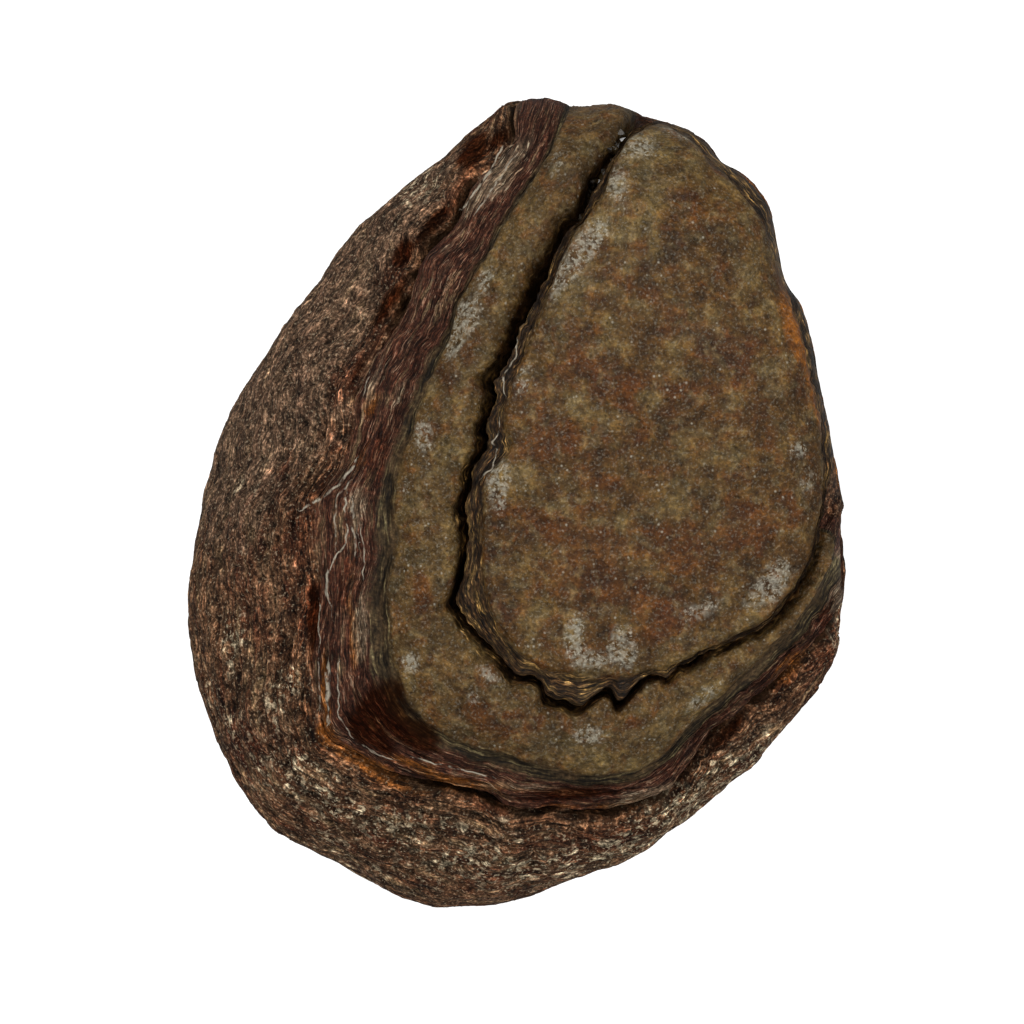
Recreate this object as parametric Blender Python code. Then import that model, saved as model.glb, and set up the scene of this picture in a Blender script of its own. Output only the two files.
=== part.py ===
"""Agate geode chunk: one naturally broken cobble, lying on its back with the agate face up.

From the middle of the face outwards it shows a quartz lens, a laminated chalcedony wall, an open
crimped fissure, a quartz and agate ring, a dark band, banded jasper, a crevice and the rhyolite rind.
A crust of small quartz crystals lines the widest stretch of the fissure.

The stone is a loft: rows of points run round the lens, and each row keeps to one feature of the
face, over the side and on to the flat rest spot underneath. Plan points are in millimetres from the
middle of the stone. One outside the silhouette lies that much farther down the side wall.
"""

import math
import random

import bmesh
import bpy
import numpy as np
from mathutils import Vector, noise

MM = 0.001
NAME = "agate_geode_chunk"

# Driving dimensions of the cobble, in millimetres
LENS_MIDDLE = (16.0, 9.0)
REST_MIDDLE = (2.0, -1.0)
TOP_HEIGHT = 58.0
REST_SINK = 1.1
WALL_PER_RADIAN = 32.0

# The lens is bowed by this much per square millimetre, out to this share of the face
LENS_BOW = 0.0045
LENS_SHARE = 0.7

# How fast the back closes on to the rest spot: under 1 is fuller than a circle
REST_FULLNESS = 0.92

# The loft's columns, and how much closer they lie at the lower left, where the stone is widest
COLUMNS = 136
CROWDING = 0.36
CROWDED_DEGREES = 205.0

# The stone's outline as seen from above
SILHOUETTE = [
    (5, 48.5), (8, 47.8), (12, 48), (14.3, 47.1), (17, 46.1), (20.5, 45), (22.7, 43.5), (24.4, 41.4),
    (26.5, 39.9), (28.7, 38), (30.2, 35.8), (31.4, 31), (32.2, 27.2), (34, 24), (35.3, 20), (36.3, 15),
    (37.4, 10), (38.4, 5), (39, 0), (39.35, -6), (39.2, -12), (37.6, -18.8), (35, -23.2), (28.5, -31),
    (24, -35), (19, -39), (13, -42.7), (7.5, -45), (1, -47.5), (-7.5, -48.5), (-13, -47.7),
    (-21, -43.7), (-30, -38), (-35, -31), (-38.7, -20), (-39.35, -12), (-38, -1), (-35, 9.5),
    (-31.5, 16), (-25, 24.7), (-20, 32), (-14.5, 37.3), (-9, 41.5), (-5, 45), (0, 47.9),
]

# The rounded edge of the quartz lens
LENS_LIP = [
    (13.6, 44), (15.5, 45.3), (18, 45.4), (20, 44.4), (22.3, 42.8), (24, 41), (26, 38.8), (28.2, 36.2),
    (30, 33.5), (31.2, 30), (32, 27), (33.2, 24), (34.5, 20), (35.4, 16), (36.2, 12), (37, 8), (37.3, 3),
    (36.2, -3), (34.2, -9), (32, -12), (29.5, -14.5), (26, -16), (22, -18), (18, -19.8), (12, -20.8),
    (8, -20.8), (4, -20), (1, -18.5), (-1, -16.5), (-3, -13.5), (-4.2, -7), (-4, 0), (-3.8, 3),
    (-1.8, 5), (-1.7, 10), (-0.8, 14), (1.5, 20), (4.3, 27), (7.5, 33.5), (10, 36.5), (12, 42),
]

# The middle of the crimped fissure, which fades to a crease along the right side
FISSURE = [
    (14, 45.6), (12, 43.5), (10.5, 42), (9.3, 39.5), (8, 37), (7.3, 35), (5.3, 33.3), (4, 31),
    (2.8, 28.5), (1.5, 26), (0.3, 23.5), (-1, 21.5), (-1.6, 19), (-2.5, 17), (-4, 15.3), (-3.5, 13),
    (-4.2, 11), (-4.8, 9), (-4.5, 7.5), (-5.5, 5.5), (-6.5, 3.5), (-6.3, 1.5), (-7.2, -0.3),
    (-6.6, -2.5), (-6.5, -4.5), (-7, -7), (-7.3, -9.5), (-8.1, -11.5), (-7.3, -13.8), (-6, -15.5),
    (-4, -17.5), (-2, -19.5), (-0.7, -21.3), (1.5, -21.3), (2.8, -22.3), (3.3, -23.8), (5.5, -24.7),
    (8, -25.2), (9.5, -23.8), (11, -23), (12.3, -25), (13.7, -23.5), (15, -21.9), (17, -21),
    (18, -21.7), (19.5, -20), (22, -18.6), (26, -17), (30, -14.3), (32, -12.5), (33.5, -10.3),
    (35, -8), (36, -5), (36.9, -2), (38.2, 3), (38.3, 8), (37.6, 12.5), (36.7, 16.5), (35.6, 21),
    (33.4, 27.2), (31.3, 34.4), (26.9, 40.2), (23, 44), (20.3, 45.8), (17, 46.7),
]

# The outer edge of the quartz ring
RING_EDGE = [
    (6.5, 47.8), (5.5, 46), (4, 42.5), (2.5, 40), (-1, 35), (-3.5, 30), (-6.5, 25), (-8.3, 20),
    (-10.5, 15), (-12.3, 10), (-13.8, 5), (-14.7, 0), (-14.3, -5), (-15.3, -10), (-15.2, -15),
    (-14.6, -20), (-12, -25), (-7.5, -28.3), (-2, -30), (5, -32), (11, -32.7), (17, -30.8),
    (21, -26.5), (25.5, -22.5), (30, -18), (33.5, -12.5), (35.5, -9), (37, -4.6), (39.2, -1),
    (43, 7), (43.2, 14), (41.6, 21), (37.5, 31), (33, 38), (27.5, 45), (20.5, 50.5), (12, 52),
]

# The crevice between the banded jasper and the rind
CREVICE = [
    (-2, 43.5), (-5.5, 40), (-8, 35), (-12, 31), (-13, 27.5), (-14, 24), (-16, 20.5), (-18, 17),
    (-19.3, 13), (-19.6, 9), (-21.5, 4), (-24, 0.5), (-24.5, -3), (-24, -10), (-24, -25), (-23, -28),
    (-20, -30), (-16, -32.5), (-12, -33.8), (-7, -34.3), (-4, -35.2), (0, -37.5), (4, -37),
    (11, -37.3), (14, -36.6), (19, -34.6), (21.5, -31), (24, -27), (28, -24.3), (30.5, -23.3),
    (32.3, -21), (35.5, -15), (37.5, -9.5), (41, -4), (48, 8), (49, 16), (46, 26), (40, 38),
    (33, 48), (23, 57), (11, 59), (1, 51),
]

# What changes round the lens: (degrees from +X about the middle of the lens, value)
EQUATOR_HEIGHT = [(0, 44), (55, 43), (100, 36), (145, 27), (190, 25), (240, 26), (290, 33), (325, 41)]
FACE_ROUNDNESS = [(0, 4.2), (60, 3.8), (120, 2.3), (180, 2.0), (240, 2.15), (300, 2.9)]
BACK_FULLNESS = [(0, 0.80), (80, 0.95), (150, 0.84), (210, 0.92), (280, 0.78)]
FISSURE_WIDTH = [
    (0, 0.7), (60, 0.7), (90, 1.8), (103, 2.4), (130, 2.3), (150, 1.4), (185, 1.0), (250, 0.8), (320, 0.8),
]
FISSURE_DEPTH = [
    (0, 0.7), (60, 0.7), (84, 1.6), (100, 5.4), (200, 5.0), (250, 4.6), (300, 4.4), (322, 3.2), (340, 1.2),
]
DARK_WIDTH = [
    (0, 1.5), (60, 1.5), (110, 0.9), (150, 0.9), (180, 1.8), (222, 3.4), (240, 1.8), (270, 1.3), (305, 2.0),
]
CREVICE_DEPTH = [
    (0, 0.8), (100, 1.0), (118, 2.4), (145, 2.2), (165, 0.8), (222, 0.9), (245, 2.0), (315, 2.2), (335, 1.0),
]

# Least distances between neighbouring features
LEAST_WALL = 0.5
LEAST_FISSURE = 0.9
LEAST_RING = 1.2
LEAST_JASPER = 1.6
LIP_BEVEL = 0.35

# Rows of the rind, as shares of the way from the crevice to the silhouette
RIND_SHARES = (0.28, 0.58, 0.84)
LEAST_RIND_TURN = 0.22

# Rows of the back: share of the way from the silhouette to the rest spot, and share of lumps
BACK_SHARES = ((0, 0.15), (0.17, 0.7), (0.36, 1), (0.56, 1), (0.77, 0.8), (1, 0))

# Relief is worn down by this share at the silhouette, and within about this turn of it
WORN_SHARE = 0.6
WORN_TURN = 0.3

# Open pits in the banded jasper: middle, half length, half width, degrees of the long axis, depth
PITS = [
    ((-4.6, 42.4), 3.2, 1.7, 52, 1.9),
    ((-0.9, 44.6), 1.6, 0.9, 52, 1.0),
    ((-13.2, 30.3), 2.2, 1.5, 40, 1.6),
    ((-9.6, 33.4), 3.0, 1.1, 48, 1.1),
]
PITS_ABOVE = 30.0

# How far the natural lumps of the rind and the quartz stand out, and how far apart they are
RIND_LUMPS = 1.5
RIND_LUMP_SPACING = 14.0
QUARTZ_LUMPS = 0.45
QUARTZ_LUMP_SPACING = 8.0

# The crust of crystals in the fissure
CRUST_DEGREES = (98.0, 138.0)
CRUST_GAP = 0.4
CRUST_THICKNESS = 1.2
CRUST_SHARE_OF_WIDTH = 0.55
CRYSTALS_ALONG = 26
CRYSTALS_ACROSS = 2
CRYSTAL_PRISM = (0.3, 1.1)
CRYSTAL_POINT = (0.4, 0.9)
CRYSTAL_INSET = 0.12
CRYSTAL_SEED = 11

# Edges sharper than this stay sharp
STONE_SHARP_DEGREES = 50.0
CRYSTAL_SHARP_DEGREES = 15.0

# Each sub-part's linear colour and roughness
PALETTE = {
    "brown_rhyolite": ((0.085, 0.048, 0.030), 0.75),
    "drusy_quartz": ((0.30, 0.26, 0.19), 0.35),
}


def around(knots, angle):
    """Smooth values all the way round, through knots of (degrees, value). angle is in radians."""
    knots = sorted((math.radians(degrees) % math.tau, value) for degrees, value in knots)
    before = [(at - math.tau, value) for at, value in knots[-2:]]
    after = [(at + math.tau, value) for at, value in knots[:2]]
    place, value = np.array(before + knots + after).T
    slope = np.gradient(value, place)
    angle = np.asarray(angle) % math.tau
    left = np.clip(np.searchsorted(place, angle, side="right") - 1, 0, len(place) - 2)
    span = place[left + 1] - place[left]
    t = (angle - place[left]) / span
    from_left = (1 + 2 * t) * value[left] + t * span * slope[left]
    from_right = (3 - 2 * t) * value[left + 1] - (1 - t) * span * slope[left + 1]
    return (1 - t) ** 2 * from_left + t ** 2 * from_right


def reach(outline, angle):
    """Distance of a closed outline from the middle of the lens."""
    middle_x, middle_y = LENS_MIDDLE
    knots = []
    for x, y in outline:
        degrees = math.degrees(math.atan2(y - middle_y, x - middle_x))
        knots.append((degrees, math.hypot(x - middle_x, y - middle_y)))
    return around(knots, angle)


def column_angles():
    even = np.arange(COLUMNS) * math.tau / COLUMNS
    return even - CROWDING * np.sin(even - math.radians(CROWDED_DEGREES))


def smooth_cobble(angle, turn):
    """The cobble without relief. turn is 0 at the middle of the lens and half pi at the silhouette."""
    edge = reach(SILHOUETTE, angle)
    equator = around(EQUATOR_HEIGHT, angle)
    roundness = around(FACE_ROUNDNESS, angle)
    out = np.abs(np.sin(turn))
    up = np.abs(np.cos(turn))
    face = out ** (2 / roundness)
    flank_height = equator + (TOP_HEIGHT - equator) * up ** (2 / (0.5 * roundness + 1))
    bow_height = TOP_HEIGHT - LENS_BOW * (face * edge) ** 2
    flank = np.clip(face / LENS_SHARE, 0, 1) ** 2
    face_height = bow_height + flank * (3 - 2 * flank) * (flank_height - bow_height)
    back = out ** around(BACK_FULLNESS, angle)
    back_height = np.maximum(0, equator - (equator + REST_SINK) * up ** REST_FULLNESS)
    on_face = turn <= math.pi / 2
    share = np.where(on_face, face, back)
    middle_x = np.where(on_face, LENS_MIDDLE[0], REST_MIDDLE[0])
    middle_y = np.where(on_face, LENS_MIDDLE[1], REST_MIDDLE[1])
    x = middle_x + (LENS_MIDDLE[0] + edge * np.cos(angle) - middle_x) * share
    y = middle_y + (LENS_MIDDLE[1] + edge * np.sin(angle) - middle_y) * share
    return np.stack([x, y, np.where(on_face, face_height, back_height)], axis=-1)


def outward(angle, turn):
    """Unit normals of the smooth cobble."""
    step = 0.004
    turn = np.clip(turn, 3 * step, math.pi - 3 * step)
    along = smooth_cobble(angle + step, turn) - smooth_cobble(angle - step, turn)
    down = smooth_cobble(angle, turn + step) - smooth_cobble(angle, turn - step)
    normal = np.cross(down, along)
    return normal / np.linalg.norm(normal, axis=-1, keepdims=True)


def turn_of(distance, angle):
    """The turn at a distance from the middle of the lens, measured in plan and then down the side wall."""
    edge = reach(SILHOUETTE, angle)
    roundness = around(FACE_ROUNDNESS, angle)
    on_face = np.arcsin(np.clip(distance / edge, 0, 1) ** (roundness / 2))
    return np.where(distance < edge, on_face, math.pi / 2 + (distance - edge) / WALL_PER_RADIAN)


def rest_turn(angle):
    """The turn at which the back meets the flat rest spot."""
    equator = around(EQUATOR_HEIGHT, angle)
    return math.pi - np.arccos((equator / (equator + REST_SINK)) ** (1 / REST_FULLNESS))


def face_features(angle):
    """The rows from the lens to the rind: (distance, relief, share of quartz lumps, share of rind lumps).

    distance is from the middle of the lens, and relief is the height against the smooth cobble.
    """
    lip = reach(LENS_LIP, angle)
    fissure = np.maximum(reach(FISSURE, angle), lip + LEAST_FISSURE)
    half = around(FISSURE_WIDTH, angle) / 2
    deep = around(FISSURE_DEPTH, angle)
    wall_foot = np.maximum(fissure - half, lip + LEAST_WALL)
    wall_middle = lip + 0.55 * (wall_foot - lip)
    ring_lip = fissure + half + LIP_BEVEL
    ring = np.maximum(reach(RING_EDGE, angle), ring_lip + LEAST_RING)
    dark = ring + around(DARK_WIDTH, angle)
    crevice = np.maximum(reach(CREVICE, angle), dark + LEAST_JASPER)
    ditch = around(CREVICE_DEPTH, angle)
    return [
        (0.26 * lip, 0.2, 0.3, 0),
        (0.50 * lip, 0.1, 0.8, 0),
        (0.70 * lip, 0.0, 1, 0),
        (0.87 * lip, -0.1, 1, 0),
        (lip - 2 * LIP_BEVEL, -0.15, 0.6, 0),
        (lip, -0.7, 0.3, 0),
        (wall_middle, -0.7 - 0.35 * deep, 0, 0),
        (wall_foot, -deep, 0, 0),
        (fissure + half, -deep, 0, 0),
        (ring_lip, -0.7 - 0.12 * deep, 0, 0),
        (ring_lip + 0.16 * (ring - ring_lip), -0.15, 0.6, 0),
        (ring_lip + 0.62 * (ring - ring_lip), 0.15, 1, 0),
        (ring, -0.6, 0.5, 0),
        (0.5 * (ring + dark), -1.35, 0, 0),
        (dark, -1.2, 0, 0.2),
        (dark + 0.34 * (crevice - dark), -1.15, 0, 0.3),
        (dark + 0.46 * (crevice - dark), -0.45, 0, 0.4),
        (dark + 0.82 * (crevice - dark), -0.6, 0, 0.5),
        (crevice - LIP_BEVEL, -0.5 - 0.3 * ditch, 0, 0.4),
        (crevice, -0.5 - ditch, 0, 0.2),
        (crevice + 3 * LIP_BEVEL, 0.1, 0, 0.6),
    ]


def stone_rows(angle):
    """(turn, relief, share of quartz lumps, share of rind lumps) of each row between the poles."""
    rows = [(turn_of(distance, angle), *rest) for distance, *rest in face_features(angle)]
    shoulder = rows[-1][0]
    silhouette = np.maximum(math.pi / 2, shoulder + LEAST_RIND_TURN)
    for share in RIND_SHARES:
        rows.append((shoulder + share * (silhouette - shoulder), 0.1, 0, 1 - 0.6 * share))
    rest = rest_turn(angle)
    for share, lumps in BACK_SHARES:
        rows.append((silhouette + share * (rest - silhouette), 0, 0, lumps))
    rows.append((0.5 * (rest + math.pi), 0, 0, 0))
    return rows


def lump(place, spacing, seed):
    return noise.fractal(Vector(place) / spacing + Vector((seed, 2 * seed, 3 * seed)), 0.9, 2.1, 3)


def pit_depth(x, y):
    depth = 0
    for (pit_x, pit_y), length, width, degrees, deep in PITS:
        lean = math.radians(degrees)
        along = ((x - pit_x) * math.cos(lean) + (y - pit_y) * math.sin(lean)) / length
        across = ((y - pit_y) * math.cos(lean) - (x - pit_x) * math.sin(lean)) / width
        depth += deep * math.exp(-((along ** 2 + across ** 2) ** 1.5))
    return depth


def stone_points():
    """The loft's points in millimetres: [row][column], with a row for each pole."""
    angle = column_angles()
    grid = [np.tile([*LENS_MIDDLE, TOP_HEIGHT], (COLUMNS, 1))]
    for turn, relief, quartz, rind in stone_rows(angle):
        smooth = smooth_cobble(angle, turn)
        lumps = np.array([
            quartz * QUARTZ_LUMPS * lump(point, QUARTZ_LUMP_SPACING, 5.3)
            + rind * RIND_LUMPS * lump(point, RIND_LUMP_SPACING, 1.7)
            for point in smooth
        ])
        depth = np.array([pit_depth(x, y) if z > PITS_ABOVE else 0 for x, y, z in smooth])
        kept = 1 - WORN_SHARE * np.exp(-((turn - math.pi / 2) / WORN_TURN) ** 2)
        grid.append(smooth + outward(angle, turn) * (lumps + (relief - depth) * kept)[:, None])
    for row in grid[-2:]:
        row[:, 2] = 0
    grid.append(np.tile([*REST_MIDDLE, 0], (COLUMNS, 1)))
    return grid


def principled(name):
    colour, roughness = PALETTE[name]
    material = bpy.data.materials.new(name)
    material.use_nodes = True
    shader = material.node_tree.nodes["Principled BSDF"]
    shader.inputs["Base Color"].default_value = (*colour, 1)
    shader.inputs["Roughness"].default_value = roughness
    shader.inputs["Metallic"].default_value = 0
    return material


def object_from(bm, name, collection, material, sharp_degrees):
    mesh = bpy.data.meshes.new(name)
    bm.to_mesh(mesh)
    bm.free()
    mesh.shade_smooth()
    mesh.set_sharp_from_angle(angle=math.radians(sharp_degrees))
    mesh.materials.append(principled(material))
    obj = bpy.data.objects.new(name, mesh)
    collection.objects.link(obj)
    return obj


def make_stone(collection):
    """A sphere whose rows and columns are moved on to the loft's points."""
    grid = stone_points()
    last_row = len(grid) - 1
    bm = bmesh.new()
    bmesh.ops.create_uvsphere(bm, u_segments=COLUMNS, v_segments=last_row, radius=1)
    for vert in bm.verts:
        row = round(math.acos(max(-1, min(1, vert.co.z))) * last_row / math.pi)
        column = round(math.atan2(vert.co.y, vert.co.x) * COLUMNS / math.tau) % COLUMNS
        vert.co = Vector(grid[row][column]) * MM
    bmesh.ops.recalc_face_normals(bm, faces=bm.faces)
    return object_from(bm, "geode_stone", collection, "brown_rhyolite", STONE_SHARP_DEGREES)


def crust_point(along, across, rise):
    """A point over the fissure's floor: along and across run from -1 to 1, rise is in millimetres."""
    start, end = CRUST_DEGREES
    angle = np.array([math.radians(end + (start - end) * (along + 1) / 2)])
    half = CRUST_SHARE_OF_WIDTH * around(FISSURE_WIDTH, angle) / 2
    turn = turn_of(reach(FISSURE, angle) + across * half, angle)
    height = rise - around(FISSURE_DEPTH, angle)
    return Vector((smooth_cobble(angle, turn) + outward(angle, turn) * height[:, None])[0]) * MM


def make_crust(collection):
    """A strip along the fissure's floor, with a pointed crystal on each of its upper faces."""
    bm = bmesh.new()
    bmesh.ops.create_grid(bm, x_segments=CRYSTALS_ALONG, y_segments=CRYSTALS_ACROSS, size=1)
    raised = bmesh.ops.extrude_face_region(bm, geom=bm.faces[:])["geom"]
    tops = [item for item in raised if isinstance(item, bmesh.types.BMFace)]
    upper = [item for item in raised if isinstance(item, bmesh.types.BMVert)]
    bmesh.ops.translate(bm, verts=upper, vec=(0, 0, 1))
    bmesh.ops.recalc_face_normals(bm, faces=bm.faces)
    for vert in bm.verts:
        vert.co = crust_point(vert.co.x, vert.co.y, CRUST_GAP + CRUST_THICKNESS * vert.co.z)
    bm.normal_update()
    draw = random.Random(CRYSTAL_SEED)
    for face in tops:
        prism = draw.uniform(*CRYSTAL_PRISM) * MM
        bmesh.ops.inset_individual(bm, faces=[face], thickness=CRYSTAL_INSET * MM, depth=prism)
        bmesh.ops.poke(bm, faces=[face], offset=draw.uniform(*CRYSTAL_POINT) * MM)
    return object_from(bm, "fissure_crystals", collection, "drusy_quartz", CRYSTAL_SHARP_DEGREES)


def main():
    for obj in list(bpy.data.objects):
        bpy.data.objects.remove(obj)
    collection = bpy.data.collections.new(NAME)
    bpy.context.scene.collection.children.link(collection)
    make_stone(collection)
    make_crust(collection)


main()
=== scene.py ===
import itertools
import math
import random

import bpy
import numpy as np
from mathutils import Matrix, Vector, noise


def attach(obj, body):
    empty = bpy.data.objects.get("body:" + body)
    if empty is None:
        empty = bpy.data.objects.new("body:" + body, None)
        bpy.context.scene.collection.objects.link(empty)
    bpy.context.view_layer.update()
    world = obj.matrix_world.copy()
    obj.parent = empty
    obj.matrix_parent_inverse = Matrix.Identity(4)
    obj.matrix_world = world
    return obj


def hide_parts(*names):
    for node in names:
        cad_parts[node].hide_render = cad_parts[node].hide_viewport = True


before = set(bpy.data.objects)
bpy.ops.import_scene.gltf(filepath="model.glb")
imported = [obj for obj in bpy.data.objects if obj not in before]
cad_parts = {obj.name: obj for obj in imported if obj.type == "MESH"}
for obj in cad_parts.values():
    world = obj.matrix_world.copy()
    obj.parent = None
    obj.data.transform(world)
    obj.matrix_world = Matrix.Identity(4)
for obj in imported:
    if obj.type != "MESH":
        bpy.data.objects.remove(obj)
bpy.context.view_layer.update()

# The stone repeats the solid's loft with many more rows and columns, a narrower fissure and fine relief.
# Lengths are in millimetres from the middle of the stone, as in the solid, until a mesh is made.

MM = 0.001

# Driving dimensions of the cobble
LENS_MIDDLE = (16.0, 9.0)
REST_MIDDLE = (2.0, -1.0)
TOP_HEIGHT = 58.0
REST_SINK = 1.1
WALL_PER_RADIAN = 32.0
LENS_BOW = 0.0045
LENS_SHARE = 0.7
REST_FULLNESS = 0.92
CROWDING = 0.36
CROWDED_DEGREES = 205.0

# The stone's outline as seen from above
SILHOUETTE = [
    (5, 48.5), (8, 47.8), (12, 48), (14.3, 47.1), (17, 46.1), (20.5, 45), (22.7, 43.5), (24.4, 41.4),
    (26.5, 39.9), (28.7, 38), (30.2, 35.8), (31.4, 31), (32.2, 27.2), (34, 24), (35.3, 20), (36.3, 15),
    (37.4, 10), (38.4, 5), (39, 0), (39.35, -6), (39.2, -12), (37.6, -18.8), (35, -23.2), (28.5, -31),
    (24, -35), (19, -39), (13, -42.7), (7.5, -45), (1, -47.5), (-7.5, -48.5), (-13, -47.7),
    (-21, -43.7), (-30, -38), (-35, -31), (-38.7, -20), (-39.35, -12), (-38, -1), (-35, 9.5),
    (-31.5, 16), (-25, 24.7), (-20, 32), (-14.5, 37.3), (-9, 41.5), (-5, 45), (0, 47.9),
]

# The rounded edge of the quartz lens
LENS_LIP = [
    (13.6, 44), (15.5, 45.3), (18, 45.4), (20, 44.4), (22.3, 42.8), (24, 41), (26, 38.8), (28.2, 36.2),
    (30, 33.5), (31.2, 30), (32, 27), (33.2, 24), (34.5, 20), (35.4, 16), (36.2, 12), (37, 8), (37.3, 3),
    (36.2, -3), (34.2, -9), (32, -12), (29.5, -14.5), (26, -16), (22, -18), (18, -19.8), (12, -20.8),
    (8, -20.8), (4, -20), (1, -18.5), (-1, -16.5), (-3, -13.5), (-4.2, -7), (-4, 0), (-3.8, 3),
    (-1.8, 5), (-1.7, 10), (-0.8, 14), (1.5, 20), (4.3, 27), (7.5, 33.5), (10, 36.5), (12, 42),
]

# The middle of the crimped fissure, which fades to a crease along the right side
FISSURE = [
    (14, 45.6), (12, 43.5), (10.5, 42), (9.3, 39.5), (8, 37), (7.3, 35), (5.3, 33.3), (4, 31),
    (2.8, 28.5), (1.5, 26), (0.3, 23.5), (-1, 21.5), (-1.6, 19), (-2.5, 17), (-4, 15.3), (-3.5, 13),
    (-4.2, 11), (-4.8, 9), (-4.5, 7.5), (-5.5, 5.5), (-6.5, 3.5), (-6.3, 1.5), (-7.2, -0.3),
    (-6.6, -2.5), (-6.5, -4.5), (-7, -7), (-7.3, -9.5), (-8.1, -11.5), (-7.3, -13.8), (-6, -15.5),
    (-4, -17.5), (-2, -19.5), (-0.7, -21.3), (1.5, -21.3), (2.8, -22.3), (3.3, -23.8), (5.5, -24.7),
    (8, -25.2), (9.5, -23.8), (11, -23), (12.3, -25), (13.7, -23.5), (15, -21.9), (17, -21),
    (18, -21.7), (19.5, -20), (22, -18.6), (26, -17), (30, -14.3), (32, -12.5), (33.5, -10.3),
    (35, -8), (36, -5), (36.9, -2), (38.2, 3), (38.3, 8), (37.6, 12.5), (36.7, 16.5), (35.6, 21),
    (33.4, 27.2), (31.3, 34.4), (26.9, 40.2), (23, 44), (20.3, 45.8), (17, 46.7),
]

# The outer edge of the quartz ring
RING_EDGE = [
    (6.5, 47.8), (5.5, 46), (4, 42.5), (2.5, 40), (-1, 35), (-3.5, 30), (-6.5, 25), (-8.3, 20),
    (-10.5, 15), (-12.3, 10), (-13.8, 5), (-14.7, 0), (-14.3, -5), (-15.3, -10), (-15.2, -15),
    (-14.6, -20), (-12, -25), (-7.5, -28.3), (-2, -30), (5, -32), (11, -32.7), (17, -30.8),
    (21, -26.5), (25.5, -22.5), (30, -18), (33.5, -12.5), (35.5, -9), (37, -4.6), (39.2, -1),
    (43, 7), (43.2, 14), (41.6, 21), (37.5, 31), (33, 38), (27.5, 45), (20.5, 50.5), (12, 52),
]

# The crevice between the banded jasper and the rind
CREVICE = [
    (-2, 43.5), (-5.5, 40), (-8, 35), (-12, 31), (-13, 27.5), (-14, 24), (-16, 20.5), (-18, 17),
    (-19.3, 13), (-19.6, 9), (-21.5, 4), (-24, 0.5), (-24.5, -3), (-24, -10), (-24, -25), (-23, -28),
    (-20, -30), (-16, -32.5), (-12, -33.8), (-7, -34.3), (-4, -35.2), (0, -37.5), (4, -37),
    (11, -37.3), (14, -36.6), (19, -34.6), (21.5, -31), (24, -27), (28, -24.3), (30.5, -23.3),
    (32.3, -21), (35.5, -15), (37.5, -9.5), (41, -4), (48, 8), (49, 16), (46, 26), (40, 38),
    (33, 48), (23, 57), (11, 59), (1, 51),
]

# What changes round the lens: (degrees from +X about the middle of the lens, value)
EQUATOR_HEIGHT = [(0, 44), (55, 43), (100, 36), (145, 27), (190, 25), (240, 26), (290, 33), (325, 41)]
FACE_ROUNDNESS = [(0, 4.2), (60, 3.8), (120, 2.3), (180, 2.0), (240, 2.15), (300, 2.9)]
BACK_FULLNESS = [(0, 0.80), (80, 0.95), (150, 0.84), (210, 0.92), (280, 0.78)]
# Widths and depths round the lens, as (degrees, millimetres). The fissure is narrower than the solid's
FISSURE_WIDTH = [
    (0, 0.5), (60, 0.5), (90, 1.0), (103, 1.25), (130, 0.95), (150, 0.7), (185, 0.6), (250, 0.55),
    (320, 0.6),
]
FISSURE_DEPTH = [
    (0, 0.7), (60, 0.7), (84, 1.6), (100, 5.4), (200, 5.0), (250, 4.6), (300, 4.4), (322, 3.2),
    (340, 1.2),
]
DARK_WIDTH = [
    (0, 1.5), (60, 1.5), (110, 0.9), (150, 0.9), (180, 1.8), (222, 3.4), (240, 1.8), (270, 1.3),
    (305, 2.0),
]
CREVICE_DEPTH = [
    (0, 0.8), (100, 1.0), (118, 2.4), (145, 2.2), (165, 0.8), (222, 0.9), (245, 2.0), (315, 2.2),
    (335, 1.0),
]

# How strongly the fissure is crimped, as (degrees, share)
CRIMPING = [(0, 0.1), (60, 0.1), (95, 0.4), (130, 0.6), (150, 0.8), (200, 0.5), (300, 0.5), (330, 0.3)]

# Least distances between neighbouring features
LEAST_WALL = 0.5
LEAST_FISSURE = 0.9
LEAST_RING = 1.2
LEAST_JASPER = 1.6
LIP_BEVEL = 0.35

# Stations of the rind and the back, as in the solid
RIND_SHARES = (0.28, 0.58, 0.84)
LEAST_RIND_TURN = 0.22
BACK_SHARES = ((0, 0.15), (0.17, 0.7), (0.36, 1), (0.56, 1), (0.77, 0.8), (1, 0))
WORN_STEPS = 8
WORN_ROUNDS = 5
WORN_SHARE = 0.6
WORN_TURN = 0.3
RIND_LUMPS = 1.5
RIND_LUMP_SPACING = 14.0
QUARTZ_LUMPS = 0.45
QUARTZ_LUMP_SPACING = 8.0

# Open pits in the banded jasper: middle, half length, half width, degrees of the long axis, depth
PITS = [
    ((-4.6, 42.4), 3.2, 1.7, 52, 1.9),
    ((-0.9, 44.6), 1.6, 0.9, 52, 1.0),
    ((-13.2, 30.3), 2.2, 1.5, 40, 1.6),
    ((-9.6, 33.4), 3.0, 1.1, 48, 1.1),
    ((19.4, 36.2), 0.7, 0.35, -30, 0.5),
    ((20.6, 22.0), 0.5, 0.25, 0, 0.4),
]
PITS_ABOVE = 30.0

# Stations by name
LENS_LIP_STATION = 6
RING_TOP_STATION = 8.5
RING_LIP_STATION = 10
RING_STATION = 13
DARK_STATION = 15
CREVICE_STATION = 20
SHOULDER_STATION = 21
BACK_TOP_STATION = 25
REST_STATION = 30

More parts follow.
